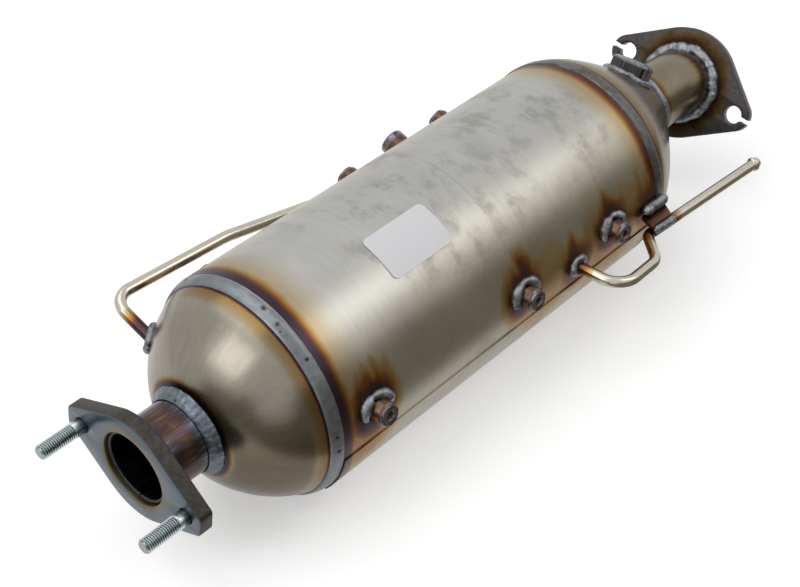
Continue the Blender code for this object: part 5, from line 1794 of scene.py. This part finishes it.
def build_sensor_boss():
    f = fittings()
    radius, bore, top, step = f.sensor_od / 2, f.sensor_bore / 2, f.sensor_proud, 0.0012
    outline = [
        (radius, -0.0010),
        (radius, top - step - 0.0003),
        (radius - 0.0003, top - step + 0.0002),
        (radius - step + 0.0002, top - 0.0002),
        (radius - step - 0.0002, top),
        (bore + step, top),
        (bore + 0.0002, top - step),
    ]
    outline += tapped(bore, top - step, -0.0016, 0.0015, 0.0006)
    place = sensor_place()
    body = turned(outline, 72, finish("boss"))
    piece("rear_sensor_body", body, "boss_steel", "rear_sensor_boss", place=place)
    path = saddle_path(place, radius + 0.0012, lambda x: body_radius() + 0.0007, seed=6.0)
    ring = bead(path, True, 0.0024, seed=13.0, lump_height=0.0013, ripple_height=0.0004)
    piece("rear_sensor_bead", ring, "weld_bead", "rear_sensor_weld")


def pipe_mesh(corners, bends):
    """Bent pipe with a hose bead and a nose at its end."""
    f = fittings()
    points = rounded_route(corners, bends, 14)
    heading = (points[-1] - points[-2]).normalized()
    swell = [0.0] * len(points)
    base = points[-1]
    for i in range(13):
        share = i / 12
        swell.append(0.0013 * sin(pi * share) ** 0.8 if 0 < i < 12 else 0.0)
        points.append(base + 0.0045 * share * heading)
    end = base + 0.0045 * heading
    for ahead, rise in ((0.0014, 0.0), (0.0021, -0.0002), (0.0025, -0.0006)):
        points.append(end + ahead * heading)
        swell.append(rise)
    kept = [(points[0], swell[0])]
    for point, rise in zip(points[1:], swell[1:]):
        if (point - kept[-1][0]).length > 0.00005:
            kept.append((point, rise))
    outer = [f.pipe_od / 2 + rise for _, rise in kept]
    inner = [f.pipe_bore / 2] * len(kept)
    return bent_tube([point for point, _ in kept], outer, inner, 28, finish("pipe"))


def build_pipes():
    corners = [front_corner(*corner) for corner in FRONT_CORNERS]
    piece("front_pipe", pipe_mesh(corners, (0.017, 0.017, 0.007)), "pipe_steel", "front_pressure_pipe")
    inner_end = dome_radius(REAR_PORT_BACK) - sizes().wall - 0.0025
    corners = (
        on_shell(-REAR_PORT_BACK, inner_end, REAR_PORT_CLOCK),
        on_shell(-REAR_PORT_BACK, body_radius() + 0.0234, REAR_PORT_CLOCK),
        *rear_run(),
    )
    piece("rear_pipe", pipe_mesh(corners, (0.013, 0.060)), "pipe_steel", "rear_pressure_pipe")
    reach = fittings().pipe_od / 2
    heading = front_corner(*FRONT_CORNERS[1]) - front_corner(*FRONT_CORNERS[0])
    place = facing(front_corner(0, 0, 0), heading)
    path = saddle_path(place, reach + 0.0018, lambda x: body_radius() + 0.0007, seed=8.0)
    ring = bead(
        path, True, 0.0028, seed=15.0, lump_height=0.0020, ripple_height=0.0002,
        dabs=3.0, bulge=0.25,
    )
    piece("front_pipe_ring_bead", ring, "weld_bead", "front_pipe_weld")
    rim = sizes().outlet_reach
    path = saddle_path(
        rear_port_place(), reach + 0.0018, lambda x: dome_radius(rim - x) + 0.0007, seed=9.0
    )
    ring = bead(path, True, 0.0028, seed=17.0, lump_height=0.0016, ripple_height=0.0004)
    piece("rear_pipe_ring_bead", ring, "weld_bead", "rear_pipe_weld")


def flat_bracket(corners, material):
    """Plate with these four corners on its middle and rounded edges."""
    across = (corners[1] - corners[0]).cross(corners[-1] - corners[0]).normalized()
    half = fittings().bracket / 2
    middle = sum(corners, Vector()) / 4
    layers = ((-half, 0.0005), (-half + 0.0004, 0.0001), (half - 0.0004, 0.0001), (half, 0.0005))
    rings = []
    for height, back in layers:
        ring = []
        for i, corner in enumerate(corners):
            follow, before = corners[(i + 1) % 4], corners[i - 1]
            for j in range(5):
                share = j / 4
                one = corner.lerp(before, 0.0014 / (before - corner).length)
                two = corner.lerp(follow, 0.0014 / (follow - corner).length)
                arc = one.lerp(corner, share).lerp(corner.lerp(two, share), share)
                ring.append(arc + (middle - arc).normalized() * back + across * height)
        rings.append(ring)
    return rings_mesh(rings, False, material)


def build_brackets():
    f = fittings()
    out = out_at(90.0)
    up = out.cross(ALONG)
    foot, root_bead, tip_bead = (0.0725, 0.0985), 0.0034, 0.0024
    root = [front_corner(past, SEAT_GAP + 0.0006, 0) for past in foot]
    pipe = [front_tail_at(past) for past in (0.0675, 0.0895)]
    above = f.pipe_od / 2 + SEAT_GAP + f.bracket / 2
    edge = [centre + above * up + 0.0015 * out for centre in pipe]
    plate = flat_bracket((root[0], root[1], edge[1], edge[0]), finish("bracket"))
    piece("front_bracket_plate", plate, "tinted_steel", "front_pipe_bracket")
    radius = body_radius() + SEAT_GAP + root_bead
    angle = 90.0 - degrees(asin((f.bracket / 2 + SEAT_GAP + root_bead) / radius))
    start, end = [on_shell(front_port_at() + past, radius - 0.0006, angle) for past in foot]
    run = bar_bead(start, end, root_bead, 31.0)
    piece("front_bracket_bead", run, "weld_bead", "front_bracket_weld")
    aside = 0.0015 + SEAT_GAP + tip_bead
    reach = f.pipe_od / 2 + SEAT_GAP + tip_bead
    above = (reach**2 - aside**2) ** 0.5
    start, end = [centre + above * up + aside * out for centre in pipe]
    run = bar_bead(start, end, tip_bead, 33.0)
    piece("front_pipe_run_bead", run, "weld_bead", "front_pipe_bead")
    stations = [rear_end_at() - back for back in (0.028, 0.012)]
    angle = rear_run_at(sum(stations) / 2)[1]
    corners = [on_shell(at, body_radius() + SEAT_GAP + 0.0006, angle) for at in stations]
    radii = [rear_run_at(at)[0] - f.pipe_od / 2 - SEAT_GAP for at in stations]
    corners += [on_shell(stations[i], radii[i], angle) for i in (1, 0)]
    plate = flat_bracket(corners, finish("bracket"))
    piece("rear_bracket_plate", plate, "tinted_steel", "rear_pipe_bracket")


def bar_bead(start, end, radius, seed):
    """Straight run of weld with rounded ends."""
    points = []
    for i in range(25):
        share = i / 24
        drift = Vector([noise.noise(Vector((share * 4 + k * 7, seed, 0))) for k in range(3)])
        points.append(start.lerp(end, share) + 0.0004 * drift)
    return bead(
        points, False, radius, sides=16, seed=seed, lump_height=0.0016, ripple_height=0.0006,
        ripple_pitch=0.0024, end_taper=radius,
    )


def build_bricks():
    s, f = sizes(), fittings()
    radius = f.brick_diameter / 2
    filter_at, catalyst_at = 0.022, s.shell_length - 0.0035 - 0.0762
    rows = (
        ("filter_brick_cells", "filter_brick", "filter", filter_at, 0.1524, -1, "filter_ceramic"),
        ("catalyst_brick_cells", "catalyst_brick", "catalyst", catalyst_at, 0.0762, 1, "catalyst_ceramic"),
    )
    source = bpy.data.meshes.new("seed")
    for name, node, look, start, tall, side, slot in rows:
        plug = 0.0005 if look == "filter" else 0.006
        core = grown(
            cell_tree, source, radius=radius - 0.001, pitch=f.cell, plug_depth=plug, length=tall - 0.0002,
            material=finish(look),
        )
        core.transform(Matrix.Translation((0, 0, -0.0001)))
        inner = radius - 0.0022
        outline = ((radius, 0), (inner, 0), (inner, -tall), (radius, -tall))
        skin = turned(outline, 96, finish(look))
        whole = joined_mesh(core, skin)
        at = s.outlet_reach + (start if side < 0 else start + tall)
        piece(name, whole, slot, node, place=coaxial(at, side))
    for node, look in (
        ("filter_mat", "fibre"),
        ("catalyst_mat", "fibre"),
        ("filter_keeper", "keeper"),
        ("catalyst_keeper", "keeper"),
    ):
        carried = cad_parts[node]
        carried.data.materials.clear()
        carried.data.materials.append(finish(look))


def seen_rays(web):
    """1 for the rays that show the pale background, 0 for the rays that light things."""
    rays = web.add("ShaderNodeLightPath").outputs
    return web.most(rays["Is Camera Ray"], rays["Is Glossy Ray"], rays["Is Transmission Ray"])


def build_floor():
    low = CAD_BOX[0][2] - 0.0006
    bm = bmesh.new()
    corners = [bm.verts.new((x, y, low)) for x, y in ((-30, -30), (30, -30), (30, 30), (-30, 30))]
    bm.faces.new(corners)
    web = Finish("pale studio floor")
    point = web.point()
    tone = web.total(0.985, web.times(web.cloud(point, 3.0, 2.0, 0.5), 0.03))
    web.coat(web.shade(colours().floor, tone), 0.9, 0.0)
    sockets = web.shader.inputs
    sockets["Specular IOR Level"].default_value = 0.1
    sockets["Emission Color"].default_value = (1, 1, 1, 1)
    web.put(sockets["Emission Strength"], web.times(seen_rays(web), 0.40))
    shown("studio_floor", mesh_of(bm, "studio floor", web.material))


def soft_lamp(name, direction, distance, size, power, target=Vector((0.28, 0, 0))):
    data = bpy.data.lights.new(name, "AREA")
    data.shape = "RECTANGLE"
    data.size, data.size_y = size
    data.energy = power
    heading = Vector(direction).normalized()
    shown(name, data).matrix_world = facing(target + distance * heading, heading, flat=Vector((0.3, 1, 0)))


def dark_card(name, profile, ends, along_x):
    """Dark card beside the canister that only its reflections show, bent up from the floor."""
    bm = bmesh.new()
    edges = []
    for end in ends:
        places = [(end, away, up) if along_x else (away, end, up) for away, up in profile]
        edges.append([bm.verts.new(place) for place in places])
    near, far = edges
    for i in range(len(profile) - 1):
        bm.faces.new((near[i], near[i + 1], far[i + 1], far[i]))
    card = shown(name, mesh_of(bm, name, finish("card")))
    card.visible_camera = False
    card.visible_diffuse = False
    card.visible_transmission = False
    card.visible_shadow = False


def build_cards():
    low = CAD_BOX[0][2] + 0.004
    side = ((-0.13, low), (-1.0, low), (-1.25, low + 0.10), (-1.35, low + 0.34), (-1.35, low + 0.62))
    dark_card("side_card", side, (-0.7, 2.2), True)
    end = ((-0.30, low), (-1.0, low), (-1.25, low + 0.10), (-1.35, low + 0.34), (-1.35, low + 0.50))
    dark_card("end_card", end, (-0.9, 0.5), False)


def build_studio():
    build_floor()
    build_cards()
    soft_lamp("key softbox", (0.78, -0.70, 1.12), 1.6, (0.60, 0.85), 3.0, Vector((0.12, 0, 0)))
    soft_lamp("top softbox", (-0.15, 0.35, 1.0), 1.7, (1.6, 1.2), 7.6)
    soft_lamp("left softbox", (-0.9, 0.1, 0.75), 1.7, (0.9, 0.8), 5.0)
    world = bpy.data.worlds.new("studio")
    world.use_nodes = True
    bpy.context.scene.world = world
    web = Web(world.node_tree)
    back = world.node_tree.nodes["Background"]
    back.inputs["Color"].default_value = (1, 1, 1, 1)
    web.put(back.inputs["Strength"], web.weigh(0.5, (seen_rays(web), 0.5)))


def build_camera():
    data = bpy.data.cameras.new("photo camera")
    data.lens = 71.61
    data.sensor_width = 36.0
    data.clip_start = 0.01
    camera = shown("photo_camera", data)
    camera.location = (-0.37569186, -0.54595264, 0.66836545)
    camera.rotation_euler = (0.877546, 0.0, -0.839189)
    bpy.context.scene.camera = camera
    bpy.context.scene.view_settings.view_transform = "Standard"


class CANISTER_OT_shell(bpy.types.Operator):
    """Build the rolled shell."""

    bl_idname = "canister.shell"
    bl_label = "Shell"

    def execute(self, context):
        build_shell()
        return {"FINISHED"}


class CANISTER_OT_seam_and_label(bpy.types.Operator):
    """Build the shell's seam and its paper label."""

    bl_idname = "canister.seam_and_label"
    bl_label = "Seam and Label"

    def execute(self, context):
        build_seam_and_label()
        return {"FINISHED"}


class CANISTER_OT_dome(bpy.types.Operator):
    """Build the outlet dome."""

    bl_idname = "canister.dome"
    bl_label = "Outlet Dome"

    def execute(self, context):
        build_dome()
        return {"FINISHED"}


class CANISTER_OT_cone(bpy.types.Operator):
    """Build the eccentric inlet cone."""

    bl_idname = "canister.cone"
    bl_label = "Inlet Cone"

    def execute(self, context):
        build_cone()
        return {"FINISHED"}


class CANISTER_OT_bands(bpy.types.Operator):
    """Build the wide beads at the shell's ends."""

    bl_idname = "canister.bands"
    bl_label = "Weld Bands"

    def execute(self, context):
        build_bands()
        return {"FINISHED"}


class CANISTER_OT_outlet_neck(bpy.types.Operator):
    """Build the outlet neck and its beads."""

    bl_idname = "canister.outlet_neck"
    bl_label = "Outlet Neck"

    def execute(self, context):
        build_outlet_neck()
        return {"FINISHED"}


class CANISTER_OT_outlet_flange(bpy.types.Operator):
    """Build the outlet flange and its studs."""

    bl_idname = "canister.outlet_flange"
    bl_label = "Outlet Flange"

    def execute(self, context):
        build_outlet_flange()
        return {"FINISHED"}


class CANISTER_OT_inlet_neck(bpy.types.Operator):
    """Build the inlet neck, its beads and its flange."""

    bl_idname = "canister.inlet_neck"
    bl_label = "Inlet Neck"

    def execute(self, context):
        build_inlet_neck()
        return {"FINISHED"}


class CANISTER_OT_hexagon(bpy.types.Operator):
    """Build the hexagonal sensor boss and its bead."""

    bl_idname = "canister.hexagon"
    bl_label = "Hexagonal Boss"

    def execute(self, context):
        build_hexagon()
        return {"FINISHED"}


class CANISTER_OT_standoffs(bpy.types.Operator):
    """Build the six threaded standoffs and their beads."""

    bl_idname = "canister.standoffs"
    bl_label = "Standoffs"

    def execute(self, context):
        build_standoffs()
        return {"FINISHED"}


class CANISTER_OT_sensor_boss(bpy.types.Operator):
    """Build the round sensor boss and its bead."""

    bl_idname = "canister.sensor_boss"
    bl_label = "Sensor Boss"

    def execute(self, context):
        build_sensor_boss()
        return {"FINISHED"}


class CANISTER_OT_pipes(bpy.types.Operator):
    """Build the two pressure pipes and their beads."""

    bl_idname = "canister.pipes"
    bl_label = "Pressure Pipes"

    def execute(self, context):
        build_pipes()
        return {"FINISHED"}


class CANISTER_OT_brackets(bpy.types.Operator):
    """Build the pipes' brackets and their beads."""

    bl_idname = "canister.brackets"
    bl_label = "Brackets"

    def execute(self, context):
        build_brackets()
        return {"FINISHED"}


class CANISTER_OT_bricks(bpy.types.Operator):
    """Build the bricks' cells and finish what holds them."""

    bl_idname = "canister.bricks"
    bl_label = "Bricks"

    def execute(self, context):
        build_bricks()
        return {"FINISHED"}


class CANISTER_OT_stage(bpy.types.Operator):
    """Build the floor, cards, lamps and world."""

    bl_idname = "canister.stage"
    bl_label = "Studio"

    def execute(self, context):
        build_studio()
        return {"FINISHED"}


class CANISTER_OT_camera(bpy.types.Operator):
    """Place the camera."""

    bl_idname = "canister.camera"
    bl_label = "Camera"

    def execute(self, context):
        build_camera()
        return {"FINISHED"}


OPERATORS = (
    CANISTER_OT_camera,
    CANISTER_OT_shell,
    CANISTER_OT_seam_and_label,
    CANISTER_OT_dome,
    CANISTER_OT_cone,
    CANISTER_OT_bands,
    CANISTER_OT_outlet_neck,
    CANISTER_OT_outlet_flange,
    CANISTER_OT_inlet_neck,
    CANISTER_OT_hexagon,
    CANISTER_OT_standoffs,
    CANISTER_OT_sensor_boss,
    CANISTER_OT_pipes,
    CANISTER_OT_brackets,
    CANISTER_OT_bricks,
    CANISTER_OT_stage,
)
GROUPS = (
    ("canister_sizes", CanisterSizes),
    ("canister_necks", NeckSizes),
    ("canister_fittings", FittingSizes),
    ("canister_colours", FinishColours),
)


class CANISTER_PT_panel(bpy.types.Panel):
    """Lists the canister's operators, sizes and colours."""

    bl_label = "Exhaust Filter Canister"
    bl_idname = "CANISTER_PT_panel"
    bl_space_type = "VIEW_3D"
    bl_region_type = "UI"
    bl_category = "Canister"

    def draw(self, context):
        for operator in OPERATORS:
            self.layout.operator(operator.bl_idname)
        for name, _ in GROUPS:
            group = getattr(context.scene, name)
            box = self.layout.box()
            for field in group.__annotations__:
                box.prop(group, field)


def register():
    for name, group in GROUPS:
        bpy.utils.register_class(group)
        setattr(bpy.types.Scene, name, PointerProperty(type=group))
    for operator in OPERATORS:
        bpy.utils.register_class(operator)
    bpy.utils.register_class(CANISTER_PT_panel)


def unregister():
    bpy.utils.unregister_class(CANISTER_PT_panel)
    for operator in reversed(OPERATORS):
        bpy.utils.unregister_class(operator)
    for name, group in reversed(GROUPS):
        delattr(bpy.types.Scene, name)
        bpy.utils.unregister_class(group)


def main():
    register()
    for operator in OPERATORS:
        getattr(bpy.ops.canister, operator.bl_idname.split(".")[1])()


if __name__ == "__main__":
    main()
